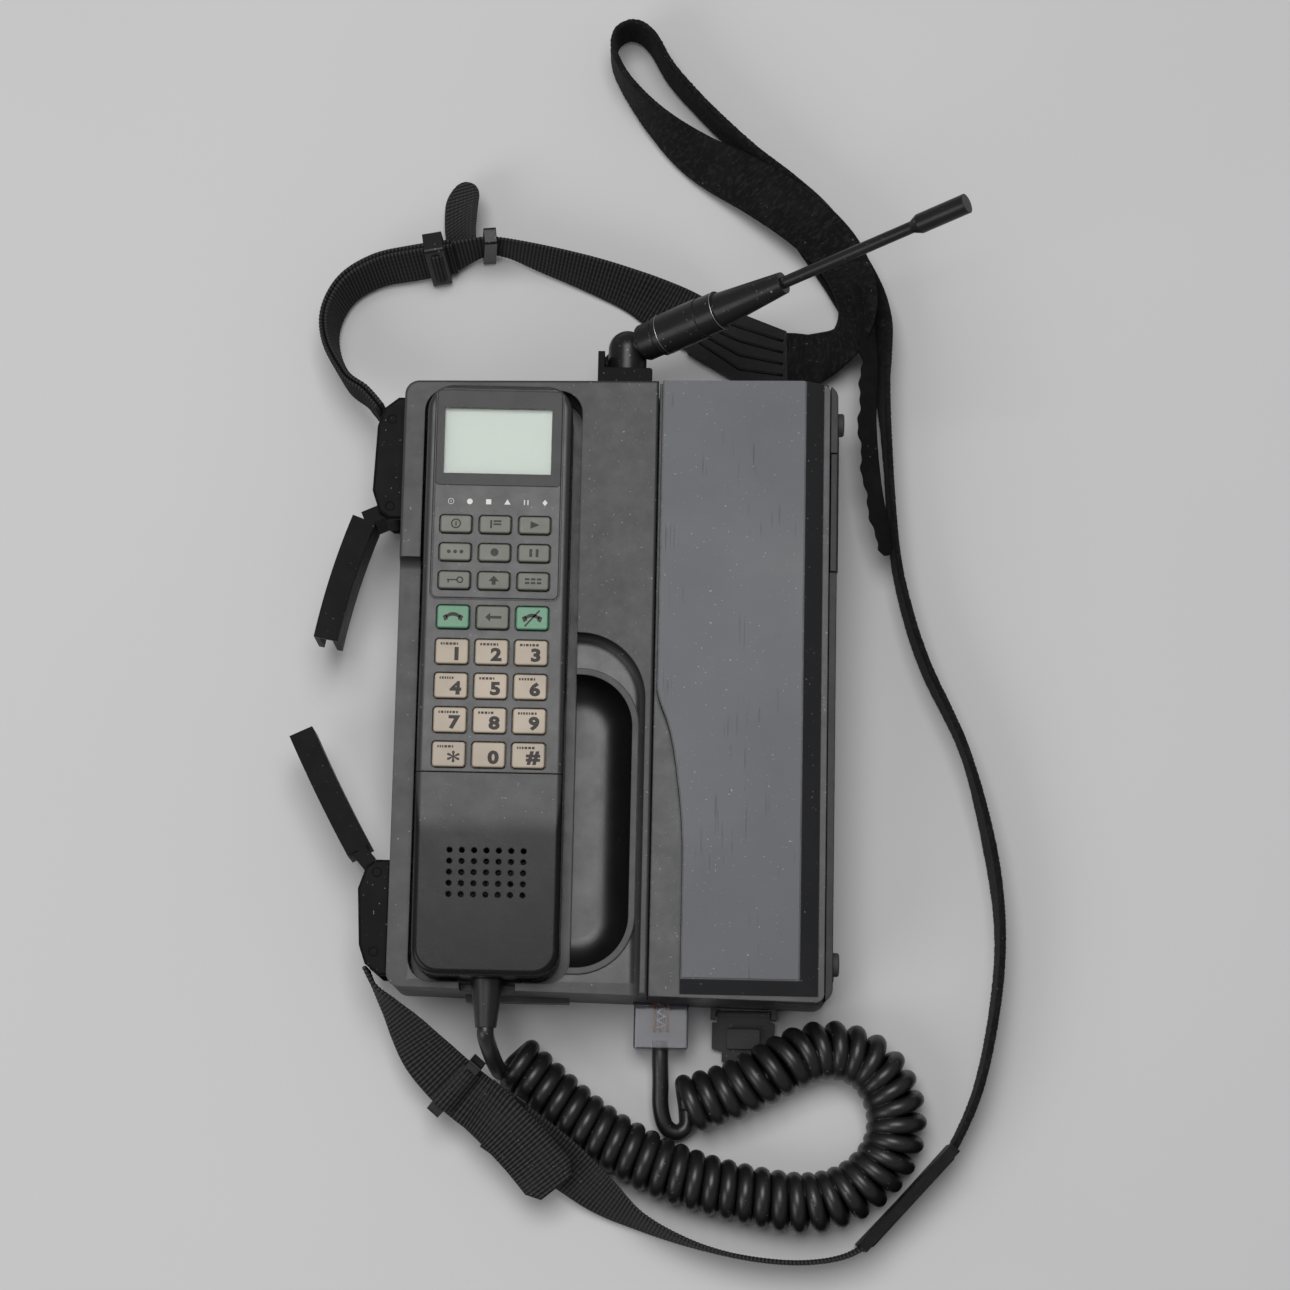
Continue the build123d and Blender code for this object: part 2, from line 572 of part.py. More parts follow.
with BuildPart() as handset_front:
    add(handset_block(0, SHELL_BASE, HANDSET_FRONT))
    fillet(handset_front.faces().sort_by(Axis.Z)[-1].edges(), 2.2)
    add(handset_block(-HANDSET_WALL, SHELL_BASE, PANEL_BACK), mode=Mode.SUBTRACT)
    add(box(-90, 0, -120, KEYPAD_END, SHELL_BASE - 1, HANDSET_FRONT + 1), mode=Mode.SUBTRACT)
    # Groove around the display and the function keys
    for inset, mode in ((0, Mode.SUBTRACT), (0.6, Mode.ADD)):
        add(rounded_box(HANDSET_X - 22.2 + inset, HANDSET_X + 22.2 - inset, 25.4 + inset, 100.0 - inset,
                        2.5 - inset, HANDSET_FRONT - 0.5, HANDSET_FRONT), mode=mode)
    # Seat of the window, opening for the display, and the key holes
    add(rounded_box(WINDOW_LEFT - 0.1, WINDOW_RIGHT + 0.1, WINDOW_BOTTOM - 0.1, WINDOW_TOP + 0.1, 1.5,
                    HANDSET_FRONT - 1.0, HANDSET_FRONT + 1), mode=Mode.SUBTRACT)
    add(box(KEY_X - LCD_WIDTH / 2, KEY_X + LCD_WIDTH / 2, LCD_BOTTOM, LCD_TOP, PANEL_BACK - 1,
            HANDSET_FRONT), mode=Mode.SUBTRACT)
    for name, x, y, (width, height) in key_places():
        add(rounded_box(x - width / 2 - KEY_GAP, x + width / 2 + KEY_GAP, y - height / 2 - KEY_GAP,
                        y + height / 2 + KEY_GAP, 1.4, PANEL_BACK - 1, HANDSET_FRONT + 1),
            mode=Mode.SUBTRACT)

with BuildPart() as mouthpiece_cover:
    add(handset_block(0, SHELL_BASE, HANDSET_FRONT))
    add(box(-90, 0, GRILLE_TOP, 120, SHELL_BASE - 1, HANDSET_FRONT + 1), mode=Mode.SUBTRACT)
    # Its face slopes down towards the cord
    with BuildSketch(Plane.YZ.offset(-90)):
        add(polygon((GRILLE_TOP, HANDSET_FRONT), (GRILLE_TOP, 80), (-110, 80), (-110, HANDSET_FRONT - 5)))
    extrude(amount=90, mode=Mode.SUBTRACT)
    fillet(mouthpiece_cover.faces().sort_by(Axis.Z)[-1].edges().sort_by(Axis.Y)[:-1], 2.2)
    add(box(HANDSET_LEFT + HANDSET_WALL, HANDSET_RIGHT - HANDSET_WALL, HANDSET_BOTTOM + 6,
            GRILLE_TOP - HANDSET_WALL, SHELL_BASE, HANDSET_FRONT - 6.8), mode=Mode.SUBTRACT)
    with BuildSketch(Plane.XY.offset(SHELL_BASE)):
        with Locations((-42.2, -68)):
            with GridLocations(4.17, 3.72, 7, 5):
                Circle(0.95)
    extrude(amount=20, mode=Mode.SUBTRACT)

with BuildPart() as display_window:
    add(rounded_box(WINDOW_LEFT, WINDOW_RIGHT, WINDOW_BOTTOM, WINDOW_TOP, 1.4, HANDSET_FRONT - 1.0,
                    HANDSET_FRONT + 0.1))

with BuildPart() as lcd_panel:
    add(box(KEY_X - 19.4, KEY_X + 19.4, LCD_BOTTOM - 1.2, LCD_TOP + 1.2, PANEL_BACK - 2.4, PANEL_BACK - 0.1))

BOARD_TOP = FLANGE_TOP - FLANGE_DEPTH - 1.2

with BuildPart() as handset_board:
    add(box(KEY_X - 20.5, KEY_X + 20.5, KEYPAD_END + 0.8, 96.5, BOARD_TOP - 1.6, BOARD_TOP))

with BuildPart() as earpiece:
    with BuildSketch(Plane.XY.offset(HANDSET_BACK + HANDSET_WALL)):
        with Locations((HANDSET_X, 80)):
            Circle(13.5)
    extrude(amount=8)
    fillet(earpiece.edges().group_by(Axis.Z)[-1], 1.5)

with BuildPart() as cord_boot:
    add(bar(Vector(BOOT_X, HANDSET_BOTTOM + 2.4, BOOT_Z), Vector(0, -1, 0), 2.7, 4.0))
    add(bar(Vector(BOOT_X, HANDSET_BOTTOM - 0.1, BOOT_Z), Vector(0, -1, 0), 16.3, 5.6, 3.6))


def key(x, y, width, height):
    """Key cap with a soft top edge, standing on the flange that keeps it under the panel."""
    reach = KEY_GAP + FLANGE
    with BuildPart() as cap:
        add(rounded_box(x - width / 2, x + width / 2, y - height / 2, y + height / 2, 1.0, FLANGE_TOP,
                        KEY_TOP))
        fillet(cap.faces().sort_by(Axis.Z)[-1].edges(), 0.5)
        add(rounded_box(x - width / 2 - reach, x + width / 2 + reach, y - height / 2 - reach,
                        y + height / 2 + reach, 1.0, FLANGE_TOP - FLANGE_DEPTH, FLANGE_TOP))
    return cap.part


keys = {}
for name, x, y, (width, height) in key_places():
    keys[name] = key(x, y, width, height)


# ---- Strips and cords along curves -------------------------------------------------------------------------
def smooth(stations, steps):
    """Catmull-Rom curve through the stations, with this many steps to each span."""
    fine = []
    for index in range(len(stations) - 1):
        before = stations[max(index - 1, 0)]
        start = stations[index]
        end = stations[index + 1]
        after = stations[min(index + 2, len(stations) - 1)]
        for step in range(steps):
            t = step / steps
            fine.append(tuple(
                0.5 * (2 * b + (c - a) * t + (2 * a - 5 * b + 4 * c - d) * t ** 2
                       + (3 * b - a - 3 * c + d) * t ** 3)
                for a, b, c, d in zip(before, start, end, after)))
    fine.append(tuple(stations[-1]))
    return fine


def square_plane(stations, index, steps=4):
    """Plane square to a strip at one of its fine stations, with x across the strip's width."""
    fine = smooth(stations, steps)
    x, y, z, roll = fine[index]
    behind = Vector(*fine[max(index - 1, 0)][:3])
    ahead = Vector(*fine[min(index + 1, len(fine) - 1)][:3])
    along = (ahead - behind).normalized()
    side = along.cross(Vector(0, 0, 1)).normalized()
    over = side.cross(along)
    across = side * cos(radians(roll)) + over * sin(radians(roll))
    return Plane(origin=(x, y, z), x_dir=across, z_dir=along)


def ribbon(stations, width, thickness, steps=4):
    """Flat strip along stations (x, y, z, roll). Roll 0 lies flat; at 90 degrees the strip stands on edge."""
    with BuildPart() as strip:
        for index in range((len(stations) - 1) * steps + 1):
            with BuildSketch(square_plane(stations, index, steps)):
                Rectangle(width, thickness)
        loft(ruled=True)
    return strip.part


# ---- Coiled cord and its plug ------------------------------------------------------------------------------
with BuildPart() as cord_plug:
    add(rounded_box(PLUG_X - PLUG_WIDTH / 2, PLUG_X + PLUG_WIDTH / 2, -123.4, -101, 0.8, 4, 16))
    chamfer(cord_plug.edges().filter_by(Axis.X), 0.6)


# The coil's envelope runs right along the lower branch, turns, and comes back above it
COIL_LINE = [(-33.0, -128.4, 10.8), (-17.0, -142.0, 10.8), (0.2, -154.2, 10.8), (21.9, -165.1, 10.8),
             (46, -171.8, 10.8), (70, -175.0, 10.8), (87, -169.6, 10.8), (98.3, -157.3, 10.8),
             (100.4, -142.5, 11), (93.5, -128.5, 11.5), (81.9, -122.8, 12), (70, -123.5, 13),
             (57.5, -129.8, 14.6), (43, -137.2, 13), (24.7, -143.0, 11.5)]
HANDSET_TAIL = [(BOOT_X, HANDSET_BOTTOM - 16.8, BOOT_Z), (BOOT_X, HANDSET_BOTTOM - 18.4, BOOT_Z - 0.3),
                (-41.2, -124.0, 40), (-40.2, -127.4, 34), (-37.4, -132.6, 17), (-33.6, -135.8, 9.6),
                (-27.5, -133.2, 10.6)]
PLUG_TAIL = [(PLUG_X, -123.6, 10), (18.6, -134, 9.4), (21.5, -146, 9), (30, -143, 11)]
CORD_SIDES = 16


def hose(points, radius, steps):
    """Bar with many flat sides along a smooth curve through the points."""
    stations = [(*point, 0) for point in points]
    with BuildPart() as pipe:
        for index in range((len(stations) - 1) * steps + 1):
            with BuildSketch(square_plane(stations, index, steps)):
                RegularPolygon(radius, CORD_SIDES)
        loft(ruled=True)
    return pipe.part


with BuildPart() as coiled_cord:
    add(hose(COIL_LINE, COIL_RADIUS, 3))
    add(hose(HANDSET_TAIL, CORD_RADIUS, 2))
    add(hose(PLUG_TAIL, CORD_RADIUS, 2))


# ---- Shoulder strap ----------------------------------------------------------------------------------------
UPPER_WEB = [(-84.6, 98.2, 25, 90), (-91, 106, 22, 90), (-99.1, 113.6, 17.5, 92), (-106.0, 126.6, 13, 96),
             (-107.0, 138.6, 11.6, 100), (-101.5, 149.8, 11.4, 102), (-90.6, 157.0, 11.4, 104),
             (-77, 160.0, 12.2, 106), (-62.5, 162.6, 13, 104)]
UPPER_WEB_ON = [(-62.5, 162.6, 13, 104), (-52, 166.4, 13, 92), (-44, 166.4, 12.4, 92),
                (-31, 162.9, 11.6, 102), (-12, 157.2, 10.6, 114), (4, 151.4, 9.2, 126),
                (16.4, 145.8, 6.4, 150)]
UPPER_TAIL = [(-58.6, 164.2, 14.5, 60), (-60.4, 172, 12.6, 50), (-60.8, 181, 10.4, 46), (-60.0, 192, 9.6, 44)]
LOWER_WEB = [(-84.4, -98.4, 25, 90), (-81, -105, 25, 94), (-76, -111, 24.4, 108), (-69, -119.8, 23.4, 130),
             (-61, -129.4, 21.6, 150), (-48.6, -140.6, 19.8, 160), (-31, -152.6, 17.4, 156),
             (-16, -162.8, 14.2, 146), (-1.8, -173.6, 11.8, 130), (12.3, -182.6, 11.4, 106),
             (29.7, -189.6, 11, 94),
             (47.1, -193.8, 11, 90), (64.4, -195.4, 11, 90), (78.3, -194.2, 11, 90), (87.6, -190.8, 11.2, 90)]
LOWER_FREE_END = [(-44.4, -143.4, 20.6, 160), (-40.6, -146.8, 22.6, 160), (-35.4, -151.6, 23.6, 161),
                  (-26.4, -160.6, 21.6, 164), (-16.6, -172, 19.2, 168)]
SHOULDER_BAND = [(61.4, 129.0, 3.2, 0), (70, 129.2, 4.6, 12), (80.6, 134.6, 10, 46), (84.4, 147, 14.4, 50),
                 (79, 162.5, 16, 42), (66.5, 176.4, 16, 32), (48, 190.4, 13, 30), (27, 202.6, 10.4, 50),
                 (11.4, 215, 11.4, 72), (0, 228.4, 11.6, 86), (-5.8, 239.6, 11.6, 90),
                 (-5.4, 247.8, 11.6, 90),
                 (0.6, 251.4, 11.6, 90), (7.6, 247.4, 11.6, 92), (15.4, 234.6, 11.6, 92),
                 (28, 220.4, 11.6, 92), (44, 204.6, 11.6, 96), (57, 191.8, 10, 116), (70, 176.4, 6.8, 150),
                 (82.6, 158, 6.4, 152), (90.6, 139.6, 8.6, 130), (94, 116, 11.4, 98), (96, 92, 11.6, 90),
                 (98.6, 58, 11.6, 90), (102.9, 36, 11.6, 90), (110.2, 14, 11.6, 90), (124.2, -16.2, 11.6, 88),
                 (133, -50, 11.6, 92), (136.6, -78, 11.6, 90), (135.2, -104, 11.6, 90),
                 (129.6, -133, 11.6, 90), (121.2, -153.4, 11.6, 90)]

with BuildPart() as strap_web_upper:
    add(ribbon(UPPER_WEB, STRAP_WIDTH, 2 * STRAP_THICKNESS + 0.2))
    add(ribbon(UPPER_WEB_ON, STRAP_WIDTH, STRAP_THICKNESS))
    add(ribbon(UPPER_TAIL, STRAP_WIDTH * 0.9, STRAP_THICKNESS))
    add(bar(Vector(*UPPER_STRAP_PIN, 15), Vector(0, 0, 1), 20, 3.4))
    add(box(-85.6, -81, 93, 98.4, 15, 35))
    add(bar(Vector(*UPPER_STRAP_PIN, 10), Vector(0, 0, 1), 30, PIN_BORE), mode=Mode.SUBTRACT)

with BuildPart() as strap_web_lower:
    add(ribbon(LOWER_WEB, STRAP_WIDTH, STRAP_THICKNESS))
    add(ribbon(LOWER_FREE_END, STRAP_WIDTH, STRAP_THICKNESS))
    add(bar(Vector(*LOWER_STRAP_PIN, 15), Vector(0, 0, 1), 20, 3.4))
    add(box(-85.2, -81, -98.6, -92, 15, 35))
    add(bar(Vector(*LOWER_STRAP_PIN, 10), Vector(0, 0, 1), 30, PIN_BORE), mode=Mode.SUBTRACT)

with BuildPart() as strap_pad:
    add(ribbon(SHOULDER_BAND, BAND_WIDTH, BAND_THICKNESS))

with BuildPart() as strap_tabs:
    with BuildSketch(Plane.XY.offset(1.2)):
        add(polygon((23, 131), (42, 119.6), (59.9, 118.6), (59.2, 139.2), (43, 145.4), (23.4, 151),
                    (22, 147)))
    extrude(amount=3.8)
    add(ribbon([(120.4, -155.2, 11.6, 90), (105, -172.4, 11.6, 90), (88.6, -190, 11.6, 90)], 21, 3.8))


def loop(place, width, height, wall, length, rise=0):
    """Rectangular ring that a strap runs through, with its plane square to the strap."""
    with BuildPart() as ring:
        with BuildSketch(place.offset(-length / 2)):
            with Locations((0, rise)):
                RectangleRounded(width + 2 * wall, height + 2 * wall, wall * 0.8)
                Rectangle(width, height, mode=Mode.SUBTRACT)
        extrude(amount=length)
    return ring.part


RING_WIDTH = STRAP_WIDTH + 1.3
UPPER_ADJUSTER = 30             # fine stations of the webbing where the adjusters and keepers sit
UPPER_KEEPER = 5
LOWER_ADJUSTER = 19
LOWER_KEEPER = 23

with BuildPart() as strap_buckles:
    add(loop(square_plane(UPPER_WEB, UPPER_ADJUSTER), RING_WIDTH, 5.4, 1.5, 7))
    add(loop(square_plane(UPPER_WEB_ON, UPPER_KEEPER), RING_WIDTH, 3.6, 1.4, 4.5))
    add(loop(square_plane(LOWER_WEB, LOWER_ADJUSTER), RING_WIDTH, 4.8, 1.6, 5))
    add(loop(square_plane(LOWER_WEB, LOWER_KEEPER), RING_WIDTH, 3.0, 1.2, 4))


# ---- Finished pieces ---------------------------------------------------------------------------------------
pieces = {
    "rear_case": rear_case, "front_case": front_case, "main_board": main_board,
    "transceiver_module": transceiver_module, "lug_upper": lug_upper, "lug_lower": lug_lower,
    "lug_pins": lug_pins, "handle_arm_upper": handle_arm_upper, "handle_arm_lower": handle_arm_lower,
    "antenna_bracket": antenna_bracket, "antenna_elbow": antenna_elbow, "antenna_nut": antenna_nut,
    "antenna_barrel": antenna_barrel, "antenna_whip": antenna_whip, "side_feet": side_feet,
    "port_cover": port_cover, "battery_latch": battery_latch, "battery_case": battery_case,
    "battery_cover": battery_cover, "battery_label": battery_label, "battery_cells": battery_cells,
    "handset_rear": handset_rear, "handset_front": handset_front, "mouthpiece_cover": mouthpiece_cover,
    "display_window": display_window, "lcd_panel": lcd_panel, "handset_board": handset_board,
    "earpiece": earpiece, "cord_boot": cord_boot, "cord_plug": cord_plug, "coiled_cord": coiled_cord,
    "strap_web_upper": strap_web_upper, "strap_web_lower": strap_web_lower, "strap_pad": strap_pad,
    "strap_tabs": strap_tabs, "strap_buckles": strap_buckles,
}

for name, piece in pieces.items():
    piece.part.label = name
    export_step(piece.part, f"parts/{name}.step")

for name, cap in keys.items():
    cap.label = name
    export_step(cap, f"parts/{name}.step")
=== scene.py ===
import json
import math
import random

import bpy
from mathutils import Matrix, Vector


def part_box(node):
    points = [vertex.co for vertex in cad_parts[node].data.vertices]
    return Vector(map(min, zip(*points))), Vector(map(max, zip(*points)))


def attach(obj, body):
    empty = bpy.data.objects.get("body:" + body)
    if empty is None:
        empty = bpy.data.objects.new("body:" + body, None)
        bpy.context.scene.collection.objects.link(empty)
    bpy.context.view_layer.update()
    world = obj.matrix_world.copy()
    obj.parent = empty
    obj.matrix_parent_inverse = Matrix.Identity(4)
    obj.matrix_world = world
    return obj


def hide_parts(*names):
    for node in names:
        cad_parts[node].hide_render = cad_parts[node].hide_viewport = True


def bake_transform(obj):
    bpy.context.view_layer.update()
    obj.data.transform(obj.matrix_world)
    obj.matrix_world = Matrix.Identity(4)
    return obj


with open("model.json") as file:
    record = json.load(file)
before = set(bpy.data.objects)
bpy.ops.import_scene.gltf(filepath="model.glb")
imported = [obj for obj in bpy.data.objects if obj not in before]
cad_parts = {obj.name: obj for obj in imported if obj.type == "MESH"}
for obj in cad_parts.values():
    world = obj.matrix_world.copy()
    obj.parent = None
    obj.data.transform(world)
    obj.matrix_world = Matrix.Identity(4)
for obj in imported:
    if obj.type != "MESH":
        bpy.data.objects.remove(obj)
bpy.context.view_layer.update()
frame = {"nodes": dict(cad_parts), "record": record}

NODES = frame["nodes"]
MM = 0.001
UP = Vector((0, 0, 1))


# ---- Node materials ----------------------------------------------------------------------------------------
def make(tree, kind, inputs=None, **settings):
    """Add a shader node. An input may be a number, a colour or another node's output."""
    made = tree.nodes.new("ShaderNode" + kind)
    for name, value in settings.items():
        setattr(made, name, value)
    for name, value in (inputs or {}).items():
        if isinstance(value, bpy.types.NodeSocket):
            tree.links.new(value, made.inputs[name])
        else:
            made.inputs[name].default_value = value
    return made


def start(name):
    """New material: returns it with its tree, its surface shader and its object coordinates."""
    material = bpy.data.materials.new(name)
    material.use_nodes = True
    tree = material.node_tree
    tree.nodes.clear()
    surface = make(tree, "BsdfPrincipled")
    output = make(tree, "OutputMaterial")
    tree.links.new(surface.outputs[0], output.inputs[0])
    place = make(tree, "TexCoord").outputs["Object"]
    return material, tree, surface, place


def noise(tree, place, size_mm, detail=3.0, rough=0.55):
    """Noise with features of about this size."""
    scale = 1 / (size_mm * MM)
    made = make(tree, "TexNoise", {"Vector": place, "Scale": scale, "Detail": detail, "Roughness": rough})
    return made.outputs["Fac"]


def ramp(tree, value, low, high):
    """0 below low, 1 above high, and smooth between."""
    made = make(tree, "MapRange", {"Value": value, "From Min": low, "From Max": high},
                interpolation_type="SMOOTHSTEP")
    return made.outputs["Result"]


def times(tree, first, second, operation="MULTIPLY"):
    """Two numbers multiplied, or put together by another operation."""
    made = make(tree, "Math", operation=operation)
    for socket, value in zip(made.inputs, (first, second)):
        if isinstance(value, bpy.types.NodeSocket):
            tree.links.new(value, socket)
        else:
            socket.default_value = value
    return made.outputs[0]


def mix(tree, share, first, second):
    """Colour between two colours."""
    return make(tree, "MixRGB", {"Fac": share, "Color1": first, "Color2": second}).outputs[0]


def shade(colour, factor):
    """A colour made darker or lighter, with its alpha."""
    return (colour[0] * factor, colour[1] * factor, colour[2] * factor, 1)


def stretched(tree, place, turn, across, along):
    """Coordinates turned about z and squeezed, so that noise draws long streaks."""
    mapping = make(tree, "Mapping", {"Vector": place, "Rotation": (0, 0, turn), "Scale": (across, along, 1)})
    return mapping.outputs[0]


def inside_box(tree, place, low_mm, high_mm, soft_mm):
    """1 inside a box given in millimetres, 0 outside, with a soft edge."""
    parts = make(tree, "SeparateXYZ", {0: place})
    inside = None
    for axis in range(3):
        for edge, sign in ((low_mm[axis], 1), (high_mm[axis], -1)):
            side = times(tree, times(tree, parts.outputs[axis], edge * MM, "SUBTRACT"), sign)
            side = ramp(tree, side, 0.0, soft_mm * MM)
            inside = side if inside is None else times(tree, inside, side)
    return inside


def moulded(name, colour, rough=0.5, grain_mm=0.35, bump=0.25, wear=0.5, dust=0.3, edge_mm=0.5, shine=0.5,
            shade_boxes=()):
    """Moulded plastic: mottled colour, fine grain, polished and scuffed edges, dust.
    Shade boxes, in millimetres, are where the colour is darkened as painted shade and the plastic is
    glossier."""
    material, tree, surface, place = start(name)
    surface.inputs["Specular IOR Level"].default_value = shine
    blotch = noise(tree, place, 45, 4)
    smudge = noise(tree, place, 9, 5, 0.7)
    grain = noise(tree, place, grain_mm, 2)
    base = mix(tree, ramp(tree, blotch, 0.3, 0.7), shade(colour, 0.86), shade(colour, 1.14))
    rounded = make(tree, "Bevel", {"Radius": edge_mm * MM}, samples=4).outputs[0]
    flat = make(tree, "NewGeometry").outputs["Normal"]
    facing = make(tree, "VectorMath", {0: rounded, 1: flat}, operation="DOT_PRODUCT").outputs["Value"]
    edge = times(tree, ramp(tree, facing, 0.995, 0.86), times(tree, ramp(tree, smudge, 0.42, 0.62), wear))
    base = mix(tree, edge, base, shade(colour, 2.2))
    specks = ramp(tree, noise(tree, place, 0.9, 1, 0.3), 0.75, 0.79)
    base = mix(tree, times(tree, specks, dust), base, (0.5, 0.49, 0.46, 1))
    tree.links.new(base, surface.inputs["Base Color"])
    gloss = times(tree, times(tree, smudge, 0.22), rough - 0.11, "ADD")
    gloss = times(tree, gloss, times(tree, edge, 0.12), "SUBTRACT")
    # Painted shade: inside each box the colour is darkened to stand in for the shade there.
    for low, high in shade_boxes:
        shade_mask = inside_box(tree, place, low, high, 0.6)
        base = mix(tree, times(tree, shade_mask, 0.85), base, shade(colour, 0.12))
        gloss = times(tree, gloss, times(tree, shade_mask, 0.14), "SUBTRACT")
        level = times(tree, shine, times(tree, shade_mask, shine * 0.6), "SUBTRACT")
        tree.links.new(level, surface.inputs["Specular IOR Level"])
        tree.links.new(base, surface.inputs["Base Color"])
    tree.links.new(gloss, surface.inputs["Roughness"])
    relief = make(tree, "Bump", {"Height": grain, "Strength": bump, "Distance": 0.12 * MM, "Normal": rounded})
    tree.links.new(relief.outputs[0], surface.inputs["Normal"])
    return material


def scratched_plate(name, colour):
    """Satin plate with long fine scratches, a few scuffs and cloudy wear."""
    material, tree, surface, place = start(name)
    cloud = noise(tree, place, 60, 5, 0.6)
    base = mix(tree, ramp(tree, cloud, 0.3, 0.7), shade(colour, 0.9), shade(colour, 1.1))
    marks = None
    for turn, across, along, limit in ((0.18, 900, 24, 0.665), (-0.35, 700, 30, 0.68), (1.2, 800, 30, 0.69)):
        streak = make(tree, "TexNoise", {"Vector": stretched(tree, place, turn, across, along), "Scale": 1.0,
                                         "Detail": 1.0}).outputs["Fac"]
        streak = ramp(tree, streak, limit, limit + 0.02)
        marks = streak if marks is None else times(tree, marks, streak, "MAXIMUM")
    patches = ramp(tree, noise(tree, place, 25, 2), 0.5, 0.62)
    marks = times(tree, marks, patches)
    scuff = times(tree, ramp(tree, noise(tree, place, 5, 6, 0.8), 0.6, 0.72), ramp(tree, cloud, 0.52, 0.66))
    base = mix(tree, times(tree, marks, 0.8), base, shade(colour, 0.2))
    base = mix(tree, times(tree, scuff, 0.5), base, shade(colour, 0.5))
    specks = ramp(tree, noise(tree, place, 0.8, 1, 0.3), 0.77, 0.80)
    base = mix(tree, times(tree, specks, 0.3), base, (0.6, 0.6, 0.6, 1))
    tree.links.new(base, surface.inputs["Base Color"])
    gloss = times(tree, times(tree, cloud, 0.2), 0.34, "ADD")
    tree.links.new(gloss, surface.inputs["Roughness"])
    height = times(tree, noise(tree, place, 0.5, 2), times(tree, marks, 3), "SUBTRACT")
    relief = make(tree, "Bump", {"Height": height, "Strength": 0.12, "Distance": 0.05 * MM})
    tree.links.new(relief.outputs[0], surface.inputs["Normal"])
    return material


def woven(name, colour, thread_mm, sheen):
    """Cloth: threads, lint and sheen. The ribs are in the mesh, which holds how high each point stands;
    higher points are painted lighter and hollows darker, as painted light and shade.
    """
    material, tree, surface, place = start(name)
    fibre = noise(tree, place, thread_mm, 4, 0.7)
    patch = noise(tree, place, 12, 4, 0.6)
    painted_height_light = make(tree, "Attribute", attribute_name="painted_height_light").outputs["Fac"]
    # Painted light and shade: higher points of the cloth are painted lighter, the hollows between them
    # darker.
    base = mix(tree, ramp(tree, painted_height_light, 0.25, 0.95), shade(colour, 0.1), shade(colour, 3.4))
    base = mix(tree, times(tree, ramp(tree, fibre, 0.45, 0.8), 0.4), base, shade(colour, 2.6))
    base = mix(tree, times(tree, ramp(tree, patch, 0.45, 0.75), 0.4), base, shade(colour, 2.0))
    lint = ramp(tree, noise(tree, place, 0.8, 1, 0.4), 0.77, 0.81)
    base = mix(tree, times(tree, lint, 0.5), base, (0.35, 0.34, 0.32, 1))
    tree.links.new(base, surface.inputs["Base Color"])
    surface.inputs["Roughness"].default_value = 0.9
    surface.inputs["Specular IOR Level"].default_value = 0.25
    surface.inputs["Sheen Weight"].default_value = sheen
    surface.inputs["Sheen Roughness"].default_value = 0.5
    relief = make(tree, "Bump", {"Height": fibre, "Strength": 0.6, "Distance": 0.15 * MM})
    tree.links.new(relief.outputs[0], surface.inputs["Normal"])
    return material


def leather(name, colour):
    """Pressed leather with a pebbled grain and rubbed high spots."""
    material, tree, surface, place = start(name)
    cells = make(tree, "TexVoronoi", {"Vector": place, "Scale": 1 / (0.7 * MM)}).outputs["Distance"]
    wear = noise(tree, place, 6, 5, 0.7)
    base = mix(tree, ramp(tree, wear, 0.45, 0.7), shade(colour, 0.8), shade(colour, 1.8))
    tree.links.new(base, surface.inputs["Base Color"])
    surface.inputs["Specular IOR Level"].default_value = 0.08
    tree.links.new(times(tree, times(tree, wear, 0.3), 0.32, "ADD"), surface.inputs["Roughness"])
    relief = make(tree, "Bump", {"Height": cells, "Strength": 0.35, "Distance": 0.15 * MM})
    tree.links.new(relief.outputs[0], surface.inputs["Normal"])
    return material


def metal(name, colour, rough):
    """Plated metal with fine turning marks and tarnish."""
    material, tree, surface, place = start(name)
    tarnish = noise(tree, place, 3, 5, 0.7)
    base = mix(tree, ramp(tree, tarnish, 0.35, 0.7), shade(colour, 0.75), shade(colour, 1.1))
    tree.links.new(base, surface.inputs["Base Color"])
    surface.inputs["Metallic"].default_value = 1.0
    tree.links.new(times(tree, times(tree, tarnish, 0.2), rough, "ADD"), surface.inputs["Roughness"])
    marks = noise(tree, place, 0.3, 2)
    relief = make(tree, "Bump", {"Height": marks, "Strength": 0.1, "Distance": 0.05 * MM})
    tree.links.new(relief.outputs[0], surface.inputs["Normal"])
    return material


def clear_plastic(name, colour):
    """Clear moulded plastic, a little smoky and scratched."""
    material, tree, surface, place = start(name)
    haze = noise(tree, place, 4, 5, 0.7)
    tree.links.new(mix(tree, haze, shade(colour, 0.9), shade(colour, 1.05)), surface.inputs["Base Color"])
    surface.inputs["Transmission Weight"].default_value = 0.92
    surface.inputs["IOR"].default_value = 1.3
    tree.links.new(times(tree, haze, 0.12), surface.inputs["Roughness"])
    relief = make(tree, "Bump", {"Height": haze, "Strength": 0.1, "Distance": 0.1 * MM})
    tree.links.new(relief.outputs[0], surface.inputs["Normal"])
    return material


